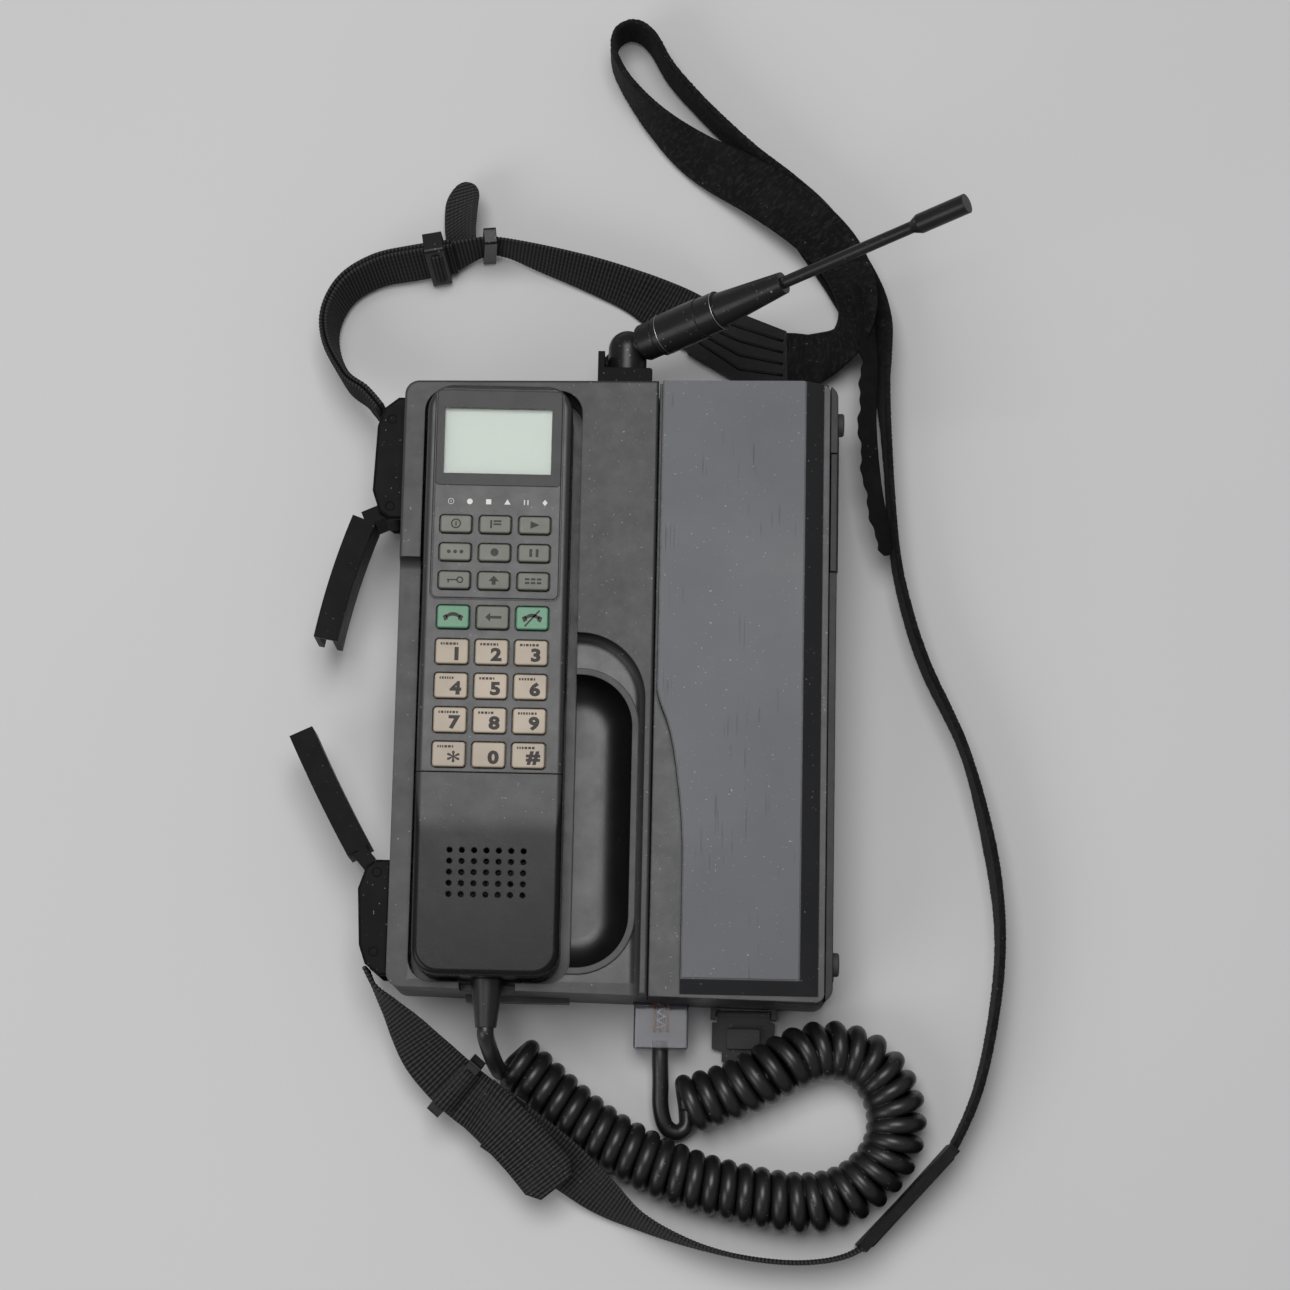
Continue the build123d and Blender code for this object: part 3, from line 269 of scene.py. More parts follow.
def window(name, low, high):
    """Display window: clear over the display, black and glossy around it. Corners in millimetres."""
    material, tree, surface, place = start(name)
    inside = inside_box(tree, place, low, high, 0.15)
    smear = noise(tree, place, 8, 5, 0.7)
    surface.inputs["Base Color"].default_value = (0.014, 0.013, 0.0145, 1)
    surface.inputs["Specular IOR Level"].default_value = 0.16
    tree.links.new(times(tree, times(tree, smear, 0.25), 0.12, "ADD"), surface.inputs["Roughness"])
    clear = make(tree, "BsdfTransparent", {"Color": (0.96, 0.97, 0.96, 1)})
    gloss = make(tree, "BsdfGlossy", {"Roughness": 0.12})
    pane = make(tree, "MixShader", {"Fac": 0.012})
    tree.links.new(clear.outputs[0], pane.inputs[1])
    tree.links.new(gloss.outputs[0], pane.inputs[2])
    both = make(tree, "MixShader", {"Fac": inside})
    tree.links.new(surface.outputs[0], both.inputs[1])
    tree.links.new(pane.outputs[0], both.inputs[2])
    output = next(node for node in tree.nodes if node.type == "OUTPUT_MATERIAL")
    tree.links.new(both.outputs[0], output.inputs[0])
    return material


def display(name):
    """Pale reflective liquid-crystal display with a faint shadow along its top."""
    material, tree, surface, place = start(name)
    parts = make(tree, "SeparateXYZ", {0: place})
    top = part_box("lcd_panel")[1].y
    shadow = ramp(tree, parts.outputs[1], top - 3.2 * MM, top - 0.8 * MM)
    mottle = noise(tree, place, 30, 2)
    base = mix(tree, mottle, (0.395, 0.445, 0.400, 1), (0.420, 0.468, 0.424, 1))
    base = mix(tree, times(tree, shadow, 0.35), base, (0.3, 0.36, 0.32, 1))
    tree.links.new(base, surface.inputs["Base Color"])
    surface.inputs["Roughness"].default_value = 0.35
    return material


CHARCOAL = (0.026, 0.026, 0.0275)
BLUE_BLACK = (0.0088, 0.0092, 0.0108)
BLACK = (0.006, 0.006, 0.0064)
# Boxes of painted shade on the case: the recess and scoop beside the handset, and the right wall of the rear
# case.
CASE_SHADE_BOXES = [((-69, -103.4, 0), (10.2, 103, 45.9)), ((73, -112, 0), (80, 112, 60))]
MATERIALS = {
    "case_plastic": moulded("case_plastic", CHARCOAL, rough=0.5, bump=0.3, shade_boxes=CASE_SHADE_BOXES),
    "battery_plastic": moulded("battery_plastic", BLUE_BLACK, rough=0.42, bump=0.15),
    "label_plate": scratched_plate("label_plate", (0.050, 0.052, 0.063)),
    # Painted shade on the handset: its colour is darkened below its face, on its sides.
    "handset_plastic": moulded("handset_plastic", (0.024, 0.0238, 0.0245), rough=0.42, bump=0.2,
                                shade_boxes=[((-80, -110, 0), (0, 110, 61.2))]),
    "board": moulded("board", (0.03, 0.12, 0.05), rough=0.4, grain_mm=1.5, wear=0),
    "radio_can": metal("radio_can", (0.55, 0.55, 0.56), 0.35),
    "cell": moulded("cell", (0.05, 0.16, 0.07), rough=0.35, grain_mm=2),
    "key_dial": moulded("key_dial", (0.38, 0.32, 0.25), rough=0.5, grain_mm=0.3, bump=0.12, wear=0.15,
                        dust=0.15, edge_mm=0.35),
    "key_function": moulded("key_function", (0.125, 0.125, 0.106), rough=0.5, bump=0.12, wear=0.15, dust=0.15,
                            edge_mm=0.35),
    "key_action": moulded("key_action", (0.092, 0.25, 0.145), rough=0.45, bump=0.12, wear=0.15, dust=0.15,
                          edge_mm=0.35),
    "antenna_plastic": moulded("antenna_plastic", (0.012, 0.012, 0.013), rough=0.32, bump=0.06, wear=0.35,
                               shine=0.25),
    "antenna_metal": moulded("antenna_metal", (0.010, 0.010, 0.010), rough=0.34, bump=0.05, wear=0.8,
                             shine=0.3),
    "black_plastic": moulded("black_plastic", BLACK, rough=0.42, bump=0.2, wear=0.5, shine=0.04),
    "pin_steel": metal("pin_steel", (0.10, 0.10, 0.10), 0.4),
    "foot_rubber": moulded("foot_rubber", (0.032, 0.032, 0.033), rough=0.75, grain_mm=0.5, wear=0.2),
    "cord_rubber": moulded("cord_rubber", (0.009, 0.009, 0.0095), rough=0.36, grain_mm=1.2, bump=0.08,
                           wear=0.1, dust=0.25),
    "plug_clear": clear_plastic("plug_clear", (0.30, 0.30, 0.345)),
    "webbing": woven("webbing", (0.012, 0.012, 0.0125), 0.25, 0.01),
    "felt": woven("felt", (0.006, 0.006, 0.0062), 0.3, 0.01),
    "thread": woven("thread", (0.05, 0.05, 0.05), 0.4, 0.2),
    "leather": leather("leather", (0.007, 0.007, 0.0072)),
    "lcd": display("lcd"),
}
SILVER = metal("silver_ring", (0.62, 0.61, 0.59), 0.25)
INK = moulded("legend_ink", (0.018, 0.012, 0.010), rough=0.6, wear=0, dust=0.05, edge_mm=0.05)
PALE_INK = moulded("pale_ink", (0.62, 0.62, 0.58), rough=0.6, wear=0, dust=0.05, edge_mm=0.05)


def floor_paper(name):
    """Pale matt sheet with hardly any texture."""
    material, tree, surface, place = start(name)
    cloud = noise(tree, place, 220, 3)
    base = mix(tree, cloud, (0.545, 0.545, 0.55, 1), (0.575, 0.575, 0.58, 1))
    tree.links.new(base, surface.inputs["Base Color"])
    surface.inputs["Roughness"].default_value = 0.8
    relief = make(tree, "Bump", {"Height": noise(tree, place, 4, 3), "Strength": 0.05, "Distance": 0.2 * MM})
    tree.links.new(relief.outputs[0], surface.inputs["Normal"])
    return material


FLOOR_PAPER = floor_paper("floor_paper")
BLACK_NODES = ("lug_upper", "lug_lower", "handle_arm_upper", "handle_arm_lower", "antenna_bracket",
               "lug_pins")


def paint(node, material):
    """Give a CAD node one material."""
    for slot in NODES[node].material_slots:
        slot.material = material


for entry in frame["record"]["subparts"]:
    if entry["material_slot"] in MATERIALS:
        paint(entry["node"], MATERIALS[entry["material_slot"]])
for node in BLACK_NODES:
    paint(node, MATERIALS["black_plastic"])

WINDOW = window("window", (-61, 69.6, 40), (-23.8, 93.1, 80))
paint("display_window", WINDOW)


# ---- Meshes ------------------------------------------------------------------------------------------------
def piece(name, vertices, faces, material, body, slot, smooth=True):
    """New mesh piece, riding on a body. Vertices are in metres."""
    mesh = bpy.data.meshes.new(name)
    mesh.from_pydata([tuple(v) for v in vertices], [], faces)
    mesh.materials.append(material)
    mesh.validate()
    for face in mesh.polygons:
        face.use_smooth = smooth
    made = bpy.data.objects.new(name, mesh)
    bpy.context.scene.collection.objects.link(made)
    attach(made, body)
    return made


def cloth(made, height_light_at):
    """Store how high each point of a cloth piece stands, 0 to 1, for the painted light and shade of its
    material.
    """
    attribute = made.data.attributes.new("painted_height_light", "FLOAT", "POINT")
    attribute.data.foreach_set("value", [height_light_at(index) for index in range(len(made.data.vertices))])
    return made


def skin(rings):
    """Vertices and faces of a closed skin over rings of equal length, with a cap at each end."""
    size = len(rings[0])
    vertices = [v for ring in rings for v in ring]
    faces = []
    for row in range(len(rings) - 1):
        for i in range(size):
            j = (i + 1) % size
            faces.append((row * size + i, row * size + j, (row + 1) * size + j, (row + 1) * size + i))
    faces.append(tuple(range(size))[::-1])
    last = (len(rings) - 1) * size
    faces.append(tuple(range(last, last + size)))
    return vertices, faces


def join(*shapes):
    """Several (vertices, faces) put into one."""
    vertices = []
    faces = []
    for points, polygons in shapes:
        offset = len(vertices)
        vertices.extend(points)
        faces.extend(tuple(i + offset for i in polygon) for polygon in polygons)
    return vertices, faces


def tube(path, radius, sides=12):
    """Round bar along a path of vectors. Its frame is carried along without twist."""
    rings = []
    across = None
    for index, point in enumerate(path):
        along = (path[min(index + 1, len(path) - 1)] - path[max(index - 1, 0)]).normalized()
        if across is None:
            across = along.orthogonal().normalized()
        across = (across - along * across.dot(along)).normalized()
        other = along.cross(across)
        ring = []
        for side in range(sides):
            angle = 2 * math.pi * side / sides
            ring.append(point + (across * math.cos(angle) + other * math.sin(angle)) * radius)
        rings.append(ring)
    return skin(rings)


def turned(origin, axis, profile, sides=48, ripple=None):
    """Closed turned shape. Profile is a list of (distance along the axis, radius) in metres."""
    across = axis.orthogonal().normalized()
    other = axis.cross(across)
    rings = []
    for distance, radius in profile:
        ring = []
        for side in range(sides):
            angle = 2 * math.pi * side / sides
            size = radius if ripple is None else radius * ripple(distance, side)
            outward = across * math.cos(angle) + other * math.sin(angle)
            ring.append(origin + axis * distance + outward * size)
        rings.append(ring)
    return skin(rings)


def smooth_curve(stations, steps):
    """Catmull-Rom curve through stations of any number of values."""
    fine = []
    for index in range(len(stations) - 1):
        before = stations[max(index - 1, 0)]
        begin = stations[index]
        end = stations[index + 1]
        after = stations[min(index + 2, len(stations) - 1)]
        for step in range(steps):
            t = step / steps
            fine.append([
                0.5 * (2 * b + (c - a) * t + (2 * a - 5 * b + 4 * c - d) * t ** 2
                       + (3 * b - a - 3 * c + d) * t ** 3)
                for a, b, c, d in zip(before, begin, end, after)])
    fine.append(list(stations[-1]))
    return fine


def resample(path, spacing):
    """Points (x, y, z, roll) at even spacing along a dense path in millimetres."""
    even = [path[0]]
    carried = 0.0
    for first, second in zip(path, path[1:]):
        span = math.dist(first[:3], second[:3])
        travelled = spacing - carried
        while travelled <= span:
            t = travelled / span
            even.append([a + (b - a) * t for a, b in zip(first, second)])
            travelled += spacing
        carried = span - (travelled - spacing)
    return even


COLUMNS = 16                 # columns of points across a strip of cloth
CURVE_STEPS = 24             # points from one station of a curve to the next


def strip_frames(stations, spacing):
    """Point, width direction and thickness direction at even spacing along a strip, in metres."""
    path = resample(smooth_curve(stations, CURVE_STEPS), spacing)
    frames = []
    for index, (x, y, z, roll) in enumerate(path):
        ahead = Vector(path[min(index + 1, len(path) - 1)][:3])
        behind = Vector(path[max(index - 1, 0)][:3])
        along = (ahead - behind).normalized()
        side = along.cross(UP).normalized()
        over = side.cross(along)
        turn = math.radians(roll)
        across = side * math.cos(turn) + over * math.sin(turn)
        frames.append((Vector((x, y, z)) * MM, across, along.cross(across)))
    return frames


def strip(frames, width, thickness, relief, wave=None):
    """Closed strip of cloth. Relief(row, share across) lifts its faces; wave(row) gives its two edges."""
    rings = []
    for row, (point, across, out) in enumerate(frames):
        left, right = (-0.5, 0.5) if wave is None else wave(row)
        ring = []
        for face in (1, -1):
            for column in range(COLUMNS + 1):
                share = column / COLUMNS if face > 0 else 1 - column / COLUMNS
                place = (left + (right - left) * share) * width
                edge = min(share, 1 - share)
                swell = 0.35 if edge == 0 else 1.0
                height = face * 0.5 * thickness * swell + face * relief(row, share) * swell
                ring.append(point + across * place + out * height)
        rings.append(ring)
    return skin(rings)


# ---- Coiled cord -------------------------------------------------------------------------------------------
CORD = 2.9                   # radius of the cord
COIL = 10.5                  # outer radius of the coil
COIL_LINE = [(-33.0, -128.4, 10.8), (-17.0, -142.0, 10.8), (0.2, -154.2, 10.8), (21.9, -165.1, 10.8),
             (46, -171.8, 10.8), (70, -175.0, 10.8), (87, -169.6, 10.8), (98.3, -157.3, 10.8),
             (100.4, -142.5, 11), (93.5, -128.5, 11.5), (81.9, -122.8, 12), (70, -123.5, 13),
             (57.5, -129.8, 14.6), (43, -137.2, 13), (24.7, -143.0, 11.5)]
TURN = 6.05                  # distance between turns of the coil
COIL_STEP = 0.25             # distance along the coil's line between points of the cord
COIL_TRIM = 8                # points left off, so that the coil ends underneath, where the plug's tail joins
BOOT_LOW, BOOT_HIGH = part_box("cord_boot")
PLUG_LOW, PLUG_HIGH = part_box("cord_plug")


def coil_path():
    """Helix wound around the coil's line, with its frame carried along the line."""
    line = resample([list(p) + [0] for p in smooth_curve(COIL_LINE, CURVE_STEPS)], COIL_STEP)
    radius = COIL - CORD
    points = []
    across = None
    for index, (x, y, z, _) in enumerate(line):
        ahead = Vector(line[min(index + 1, len(line) - 1)][:3])
        behind = Vector(line[max(index - 1, 0)][:3])
        along = (ahead - behind).normalized()
        if across is None:
            across = along.cross(UP).normalized()
        across = (across - along * across.dot(along)).normalized()
        other = along.cross(across)
        angle = 2 * math.pi * index * COIL_STEP / TURN + math.pi * 0.5
        wobble = 1 + 0.02 * math.sin(index * 0.031)
        outward = across * math.cos(angle) + other * math.sin(angle)
        points.append(Vector((x, y, z)) + outward * radius * wobble)
    return points[:-COIL_TRIM]


def build_cord():
    """The coil with its handset tail as one piece, and the plug's tail as another."""
    helix = coil_path()
    boot_middle = (BOOT_LOW + BOOT_HIGH) / 2
    boot_end = Vector((boot_middle.x, BOOT_LOW.y, boot_middle.z)) / MM
    tail = [tuple(boot_end + Vector((0, 1, 0))), tuple(boot_end + Vector((0, -2.6, 0))), (-40.2, -126.4, 35),
            (-37.8, -132.0, 19), tuple(helix[0] + Vector((-2.6, -3.6, 3.2))), tuple(helix[0]),
            tuple(helix[2])]
    path = [Vector(p) for p in smooth_curve(tail, 10)][:-12] + helix
    shape = tube([p * MM for p in path], CORD * MM, 14)
    coil = piece("coil_and_tail", *shape, MATERIALS["cord_rubber"], "case", "cord_rubber")
    plug_x = (PLUG_LOW.x + PLUG_HIGH.x) / 2 / MM
    plug_y = PLUG_LOW.y / MM
    tail = [(plug_x, plug_y + 3, 10), (plug_x, plug_y - 3, 9.8), (18.4, -134, 8.8), (18.6, -143, 7.4),
            (20.6, -149.6, 6.2), (24.6, -151.6, 5.4), (27.8, -149.2, 4.9), tuple(helix[-1])]
    shape = tube([Vector(p) * MM for p in smooth_curve(tail, 10)], CORD * MM, 14)
    piece("plug_tail", *shape, MATERIALS["cord_rubber"], "case", "cord_rubber")
    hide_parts("coiled_cord")
    coil.parent = None
    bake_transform(coil)


build_cord()


# ---- Strap -------------------------------------------------------------------------------------------------
WEB_WIDTH = 20.0             # strips below are stations of x, y, z in millimetres and roll in degrees
UPPER_WEB = [(-84.6, 98.2, 25, 90), (-91, 106, 22, 90), (-99.1, 113.6, 17.5, 92), (-106.0, 126.6, 13, 96),
             (-107.0, 138.6, 11.6, 100), (-101.5, 149.8, 11.4, 102), (-90.6, 157.0, 11.4, 104),
             (-77, 160.0, 12.2, 106), (-62.5, 162.6, 13, 104)]
UPPER_WEB_ON = [(-62.5, 162.6, 13, 104), (-52, 166.4, 13, 92), (-44, 166.4, 12.4, 92),
                (-31, 162.9, 11.6, 102), (-12, 157.2, 10.6, 114), (4, 151.4, 9.2, 126),
                (16.4, 145.8, 6.4, 150), (27, 141, 4.2, 172)]
UPPER_TAIL = [(-58.6, 164.2, 14.5, 60), (-60.4, 172, 12.6, 50), (-60.8, 181, 10.4, 46), (-60.0, 192, 9.6, 44)]
LOWER_WEB = [(-84.4, -98.4, 25, 90), (-81, -105, 25, 94), (-76, -111, 24.4, 108), (-69, -119.8, 23.4, 130),
             (-61, -129.4, 21.6, 150), (-48.6, -140.6, 19.8, 160), (-31, -152.6, 17.4, 156),
             (-16, -162.8, 14.2, 146), (-1.8, -173.6, 11.8, 130), (12.3, -182.6, 11.4, 106),
             (29.7, -189.6, 11, 94), (47.1, -193.8, 11, 90), (64.4, -195.4, 11, 90), (78.3, -194.2, 11, 90),
             (87.6, -190.8, 11.2, 90), (93, -185.4, 11.4, 90)]
LOWER_FREE_END = [(-44.4, -143.4, 20.6, 160), (-40.6, -146.8, 22.6, 160), (-35.4, -151.6, 23.6, 161),
                  (-26.4, -160.6, 21.6, 164), (-16.6, -172, 19.2, 168)]
SHOULDER_BAND = [(52, 129.4, 3.0, 0), (61.4, 129.0, 3.2, 0), (70, 129.2, 4.6, 12), (80.6, 134.6, 10, 46),
                 (84.4, 147, 14.4, 50), (79, 162.5, 16, 42), (66.5, 176.4, 16, 32), (48, 190.4, 13, 30),
                 (27, 202.6, 10.4, 50), (11.4, 215, 11.4, 72), (0, 228.4, 11.6, 86), (-5.8, 239.6, 11.6, 90),
                 (-5.4, 247.8, 11.6, 90), (0.6, 251.4, 11.6, 90), (7.6, 247.4, 11.6, 92),
                 (15.4, 234.6, 11.6, 92), (28, 220.4, 11.6, 92), (44, 204.6, 11.6, 96), (57, 191.8, 10, 116),
                 (70, 176.4, 6.8, 150), (82.6, 158, 6.4, 152), (90.6, 139.6, 8.6, 130), (94, 116, 11.4, 98),
                 (96, 92, 11.6, 90), (98.6, 58, 11.6, 90), (102.9, 36, 11.6, 90), (110.2, 14, 11.6, 90),
                 (124.2, -16.2, 11.6, 88), (133, -50, 11.6, 92), (136.6, -78, 11.6, 90),
                 (135.2, -104, 11.6, 90), (129.6, -133, 11.6, 90), (121.2, -153.4, 11.6, 90),
                 (115, -161, 11.6, 90)]
RIB = 1.35                   # distance between the webbing's cross ribs


def rib(row, share):
    """Height, 0 to 1, of the cross ribs: four rows to a rib, broken into yarns across the width."""
    ridge = 0.5 - 0.5 * math.cos(2 * math.pi * row / 4)
    yarn = 0.5 + 0.5 * math.cos(2 * math.pi * share * 8)
    return 0.78 * ridge + 0.22 * yarn


def rib_relief(row, share):
    """Height of the ribs in metres."""
    return 0.28 * MM * rib(row, share)


def rib_at(index):
    """How high a point of a webbing piece stands, from its index, for the painted light and shade of its
    material.
    """
    row, place = divmod(index, 2 * (COLUMNS + 1))
    column = place if place <= COLUMNS else 2 * COLUMNS + 1 - place
    return rib(row, column / COLUMNS)


def rounded_end(rows):
    """Narrow the last rows of a strip to a rounded tongue."""
    def wave(row):
        left_over = rows - 1 - row
        reach = 24
        if left_over >= reach:
            return -0.5, 0.5
        share = left_over / reach
        half = 0.5 * math.sqrt(max(1 - (1 - share) ** 2, 0.02))
        return -half, half
    return wave


def build_webbing():
    """All the ribbed webbing: doubled from the upper lug, single elsewhere, with two free ends."""
    material = MATERIALS["webbing"]
    spacing = RIB / 4
    shapes = []
    doubled = strip_frames(UPPER_WEB, spacing)
    for side in (1, -1):
        layer = [(point + out * side * 0.95 * MM, across, out) for point, across, out in doubled]
        shapes.append(strip(layer, WEB_WIDTH * MM, 1.3 * MM, rib_relief))
    shapes.append(strip(strip_frames(UPPER_WEB_ON, spacing), WEB_WIDTH * MM, 1.3 * MM, rib_relief))
    tail = strip_frames(UPPER_TAIL, spacing)
    shapes.append(strip(tail, WEB_WIDTH * 0.9 * MM, 1.3 * MM, rib_relief, wave=rounded_end(len(tail))))
    upper = cloth(piece("webbing_upper", *join(*shapes), material, "case", "webbing"), rib_at)
    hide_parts("strap_web_upper")
    free_end = strip_frames(LOWER_FREE_END, spacing)
    shapes = [strip(strip_frames(LOWER_WEB, spacing), WEB_WIDTH * MM, 1.3 * MM, rib_relief),
              strip(free_end, WEB_WIDTH * MM, 1.3 * MM, rib_relief, wave=chamfered_end(len(free_end)))]
    lower = cloth(piece("webbing_lower", *join(*shapes), material, "case", "webbing"), rib_at)
    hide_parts("strap_web_lower")


def chamfered_end(rows):
    """Cut the corners off the last rows of a strip."""
    def wave(row):
        left_over = rows - 1 - row
        cut = max(0.0, 0.16 * (1 - left_over / 14))
        return -0.5 + cut, 0.5 - cut
    return wave


def build_band():
    """Napped shoulder band with a herringbone face."""
    dice = random.Random(7)
    lumps = [[dice.uniform(-1, 1) for _ in range(COLUMNS + 1)] for _ in range(4000)]

    def felt_relief(row, share):
        column = round(share * COLUMNS)
        phase = row * 2.1 + abs(share - 0.5) * 26
        return (0.07 * math.sin(phase) + 0.10 * lumps[row % 4000][column]) * MM

    frames = strip_frames(SHOULDER_BAND, 0.55)
    shapes = [strip(frames, WEB_WIDTH * MM, 2.2 * MM, felt_relief)]
    # The felt's painted light and shade takes its values from the lumps table.
    band = cloth(piece("shoulder_band", *join(*shapes), MATERIALS["felt"], "case", "felt"),
                 lambda index: 0.35 + 0.3 * lumps[index // 40 % 4000][index % (COLUMNS + 1)])
    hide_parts("strap_pad")


SLEEVE = [(84.6, 153.0, 18, 24), (87.3, 136.3, 18, 26), (88.5, 121.3, 18.4, 24), (87.9, 108.3, 18.8, 22),
          (88.2, 95.3, 19, 20), (90.2, 76.9, 19, 22), (93.4, 62.3, 18.6, 26), (95.4, 52.8, 18, 30)]


def build_sleeve():
    """Thin wavy sleeve sewn along the inner side of the shoulder band."""
    frames = strip_frames(SLEEVE, 0.6)
    reach = len(frames) - 1

    def wave(row):
        ripple = 0.07 * math.sin(row * 0.23) + 0.04 * math.sin(row * 0.61 + 1)
        close = min(1.0, (reach - row) / 6 + 0.25)
        return -0.5 * close, (0.42 + ripple) * close

    def relief(row, share):
        return 0.1 * MM * math.sin(row * 0.5 + share * 4)

    shape = strip(frames, 7.6 * MM, 0.9 * MM, relief, wave=wave)
    # The sleeve gets a low value, so its colour is painted as dark as the hollows.
    cloth(piece("band_sleeve", *shape, MATERIALS["felt"], "case", "felt"), lambda index: 0.1)
    seam = []
    for row, (point, across, out) in enumerate(frames[:-8]):
        seam.append(point - across * (3.3 + 0.35 * math.sin(row * 0.31)) * MM + out * 0.5 * MM)
    piece("sleeve_edge", *tube(seam, 0.28 * MM, 6), MATERIALS["thread"], "case", "felt")


build_webbing()
build_band()
build_sleeve()


# ---- Legends -----------------------------------------------------------------------------------------------
INK_LIFT = 0.05              # how far printed marks stand proud


def top_of(node, x, y):
    """Height, in millimetres, of a CAD node's upper surface at a point."""
    hit, place, _, _ = NODES[node].ray_cast(Vector((x, y, 200)) * MM, -UP)
    return place.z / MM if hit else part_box(node)[1].z / MM


def flat(name, outlines, x, y, z, material, body, slot):
    """Printed mark: closed outlines (lists of points in millimetres about x, y) laid on a surface."""
    shapes = []
    for outline in outlines:
        low = [Vector((x + u, y + v, z - 0.03)) * MM for u, v in outline]
        high = [Vector((x + u, y + v, z + INK_LIFT)) * MM for u, v in outline]
        shapes.append(skin([low, high]))
    return piece(name, *join(*shapes), material, body, slot, smooth=False)


def disc(u, v, radius, sides=20):
    """Outline of a round dot."""
    return [(u + radius * math.cos(2 * math.pi * i / sides), v + radius * math.sin(2 * math.pi * i / sides))
            for i in range(sides)]


def bar(u, v, length, height, turn=0.0):
    """Rectangle centred on a point and turned by an angle in degrees."""
    c = math.cos(math.radians(turn))
    s = math.sin(math.radians(turn))
    corners = [(-length / 2, -height / 2), (length / 2, -height / 2), (length / 2, height / 2),
               (-length / 2, height / 2)]
    return [(u + a * c - b * s, v + a * s + b * c) for a, b in corners]


def ring_mark(u, v, radius, width, gap=0.0, sides=24):
    """Ring drawn as short bars, open at its top by the gap angle in degrees."""
    bars = []
    sweep = 360 - 2 * gap
    for i in range(sides):
        angle = math.radians(90 + gap + sweep * (i + 0.5) / sides)
        length = math.radians(sweep / sides) * (radius + width / 2)
        bars.append(bar(u + radius * math.cos(angle), v + radius * math.sin(angle), length, width,
                        math.degrees(angle) + 90))
    return bars


def handset_mark(crossed):
    """Telephone handset: an arched bar with a swollen foot at each end."""
    arch = []
    for i in range(9):
        angle = math.radians(150 - 15 * i)
        arch.append((2.5 * math.cos(angle), 1.9 * math.sin(angle) - 0.9))
    for i in range(9):
        angle = math.radians(30 + 15 * i)
        arch.append((1.9 * math.cos(angle), 1.05 * math.sin(angle) - 0.9))
    marks = [arch, bar(-2.15, -0.25, 1.1, 1.25, 24), bar(2.15, -0.25, 1.1, 1.25, -24)]
    if crossed:
        marks.append(bar(0, -0.1, 5.6, 0.42, 42))
    return [[(u, 1.25 * v) for u, v in outline] for outline in marks]


FUNCTION_MARKS = {
    "key_function_1": ring_mark(0, 0, 1.25, 0.34) + [bar(0, 0, 0.34, 1.3)],
    "key_function_2": [bar(-1.2, 0, 0.5, 2.4), bar(0.6, 0, 2.2, 0.5), bar(0.6, 0.9, 2.2, 0.5)],
    "key_function_3": [[(-1.2, -1.1), (1.4, 0), (-1.2, 1.1)]],
    "key_function_4": [disc(-1.8, 0, 0.55), disc(0, 0, 0.55), disc(1.8, 0, 0.55)],
    "key_function_5": [disc(0, 0, 1.15)],
    "key_function_6": [bar(-0.9, 0, 0.8, 2.3), bar(0.9, 0, 0.8, 2.3)],
    "key_function_7": ring_mark(1.6, 0, 0.8, 0.34) + [bar(-0.6, 0, 3, 0.4), bar(-1.7, -0.5, 0.4, 0.8)],
    "key_function_8": [[(-1.5, -0.2), (0, 1.4), (1.5, -0.2)], bar(0, -0.7, 1.1, 1.1)],
    "key_function_9": [bar(u, v, 1.3, 0.6) for u in (-1.7, 0, 1.7) for v in (-0.55, 0.55)],
    "key_clear": [[(-2.1, 0), (-0.7, -1.3), (-0.7, 1.3)], bar(0.9, 0, 3.2, 0.8)],
    "key_call": handset_mark(False),
    "key_end": handset_mark(True),
}
DIGITS = {"key_star": "*", "key_hash": "#", **{f"key_{n}": str(n) for n in range(10)}}
DIGIT_RIGHT = 1.6            # how far right of a dial key's middle its digit stands
DIGIT_LOW = 0.9              # and how far below it


def caption_marks(dice):
    """Row of small dashes of uneven length, where the dial keys carry a printed word."""
    marks = []
    u = -3.9
    while u < dice.choice((1.2, 2.2)):
        length = dice.choice((0.45, 0.6, 0.9))
        marks.append(bar(u + length / 2, 2.55, length, 0.8))
        u += length + 0.35
    return marks


def build_digit(key, digit):
    """Printed digit low on the right of a dial key, and a row of small dashes above it."""
    low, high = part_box(key)
    x = (low.x + high.x) / 2 / MM
    y = (low.y + high.y) / 2 / MM
    z = top_of(key, x, y)
    curve = bpy.data.curves.new("digit", "FONT")
    curve.body = digit
    curve.size = 5.9 * MM if digit != "*" else 8.5 * MM
    curve.offset = (0.3 if digit != "*" else 0.1) * MM
    curve.extrude = INK_LIFT / 2 * MM
    curve.align_x = "CENTER"
    curve.align_y = "CENTER"
    curve.resolution_u = 3
    text = bpy.data.objects.new("digit", curve)
    bpy.context.scene.collection.objects.link(text)
    bpy.context.view_layer.update()
    mesh = bpy.data.meshes.new_from_object(text.evaluated_get(bpy.context.evaluated_depsgraph_get()))
    bpy.data.objects.remove(text)
    mesh.transform(Matrix.Diagonal((1.2, 1, 1, 1)))
    middle_x = (min(v.co.x for v in mesh.vertices) + max(v.co.x for v in mesh.vertices)) / 2
    middle_y = (min(v.co.y for v in mesh.vertices) + max(v.co.y for v in mesh.vertices)) / 2
    mesh.transform(Matrix.Translation(((x + DIGIT_RIGHT) * MM - middle_x, (y - DIGIT_LOW) * MM - middle_y,
                                       z * MM)))
    mesh.materials.clear()
    mesh.materials.append(INK)
    made = bpy.data.objects.new("digit_" + key, mesh)
    bpy.context.scene.collection.objects.link(made)
    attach(made, key)
    if digit != "0":
        flat("caption_" + key, caption_marks(random.Random(ord(digit))), x, y, z, INK, key, "key_dial")


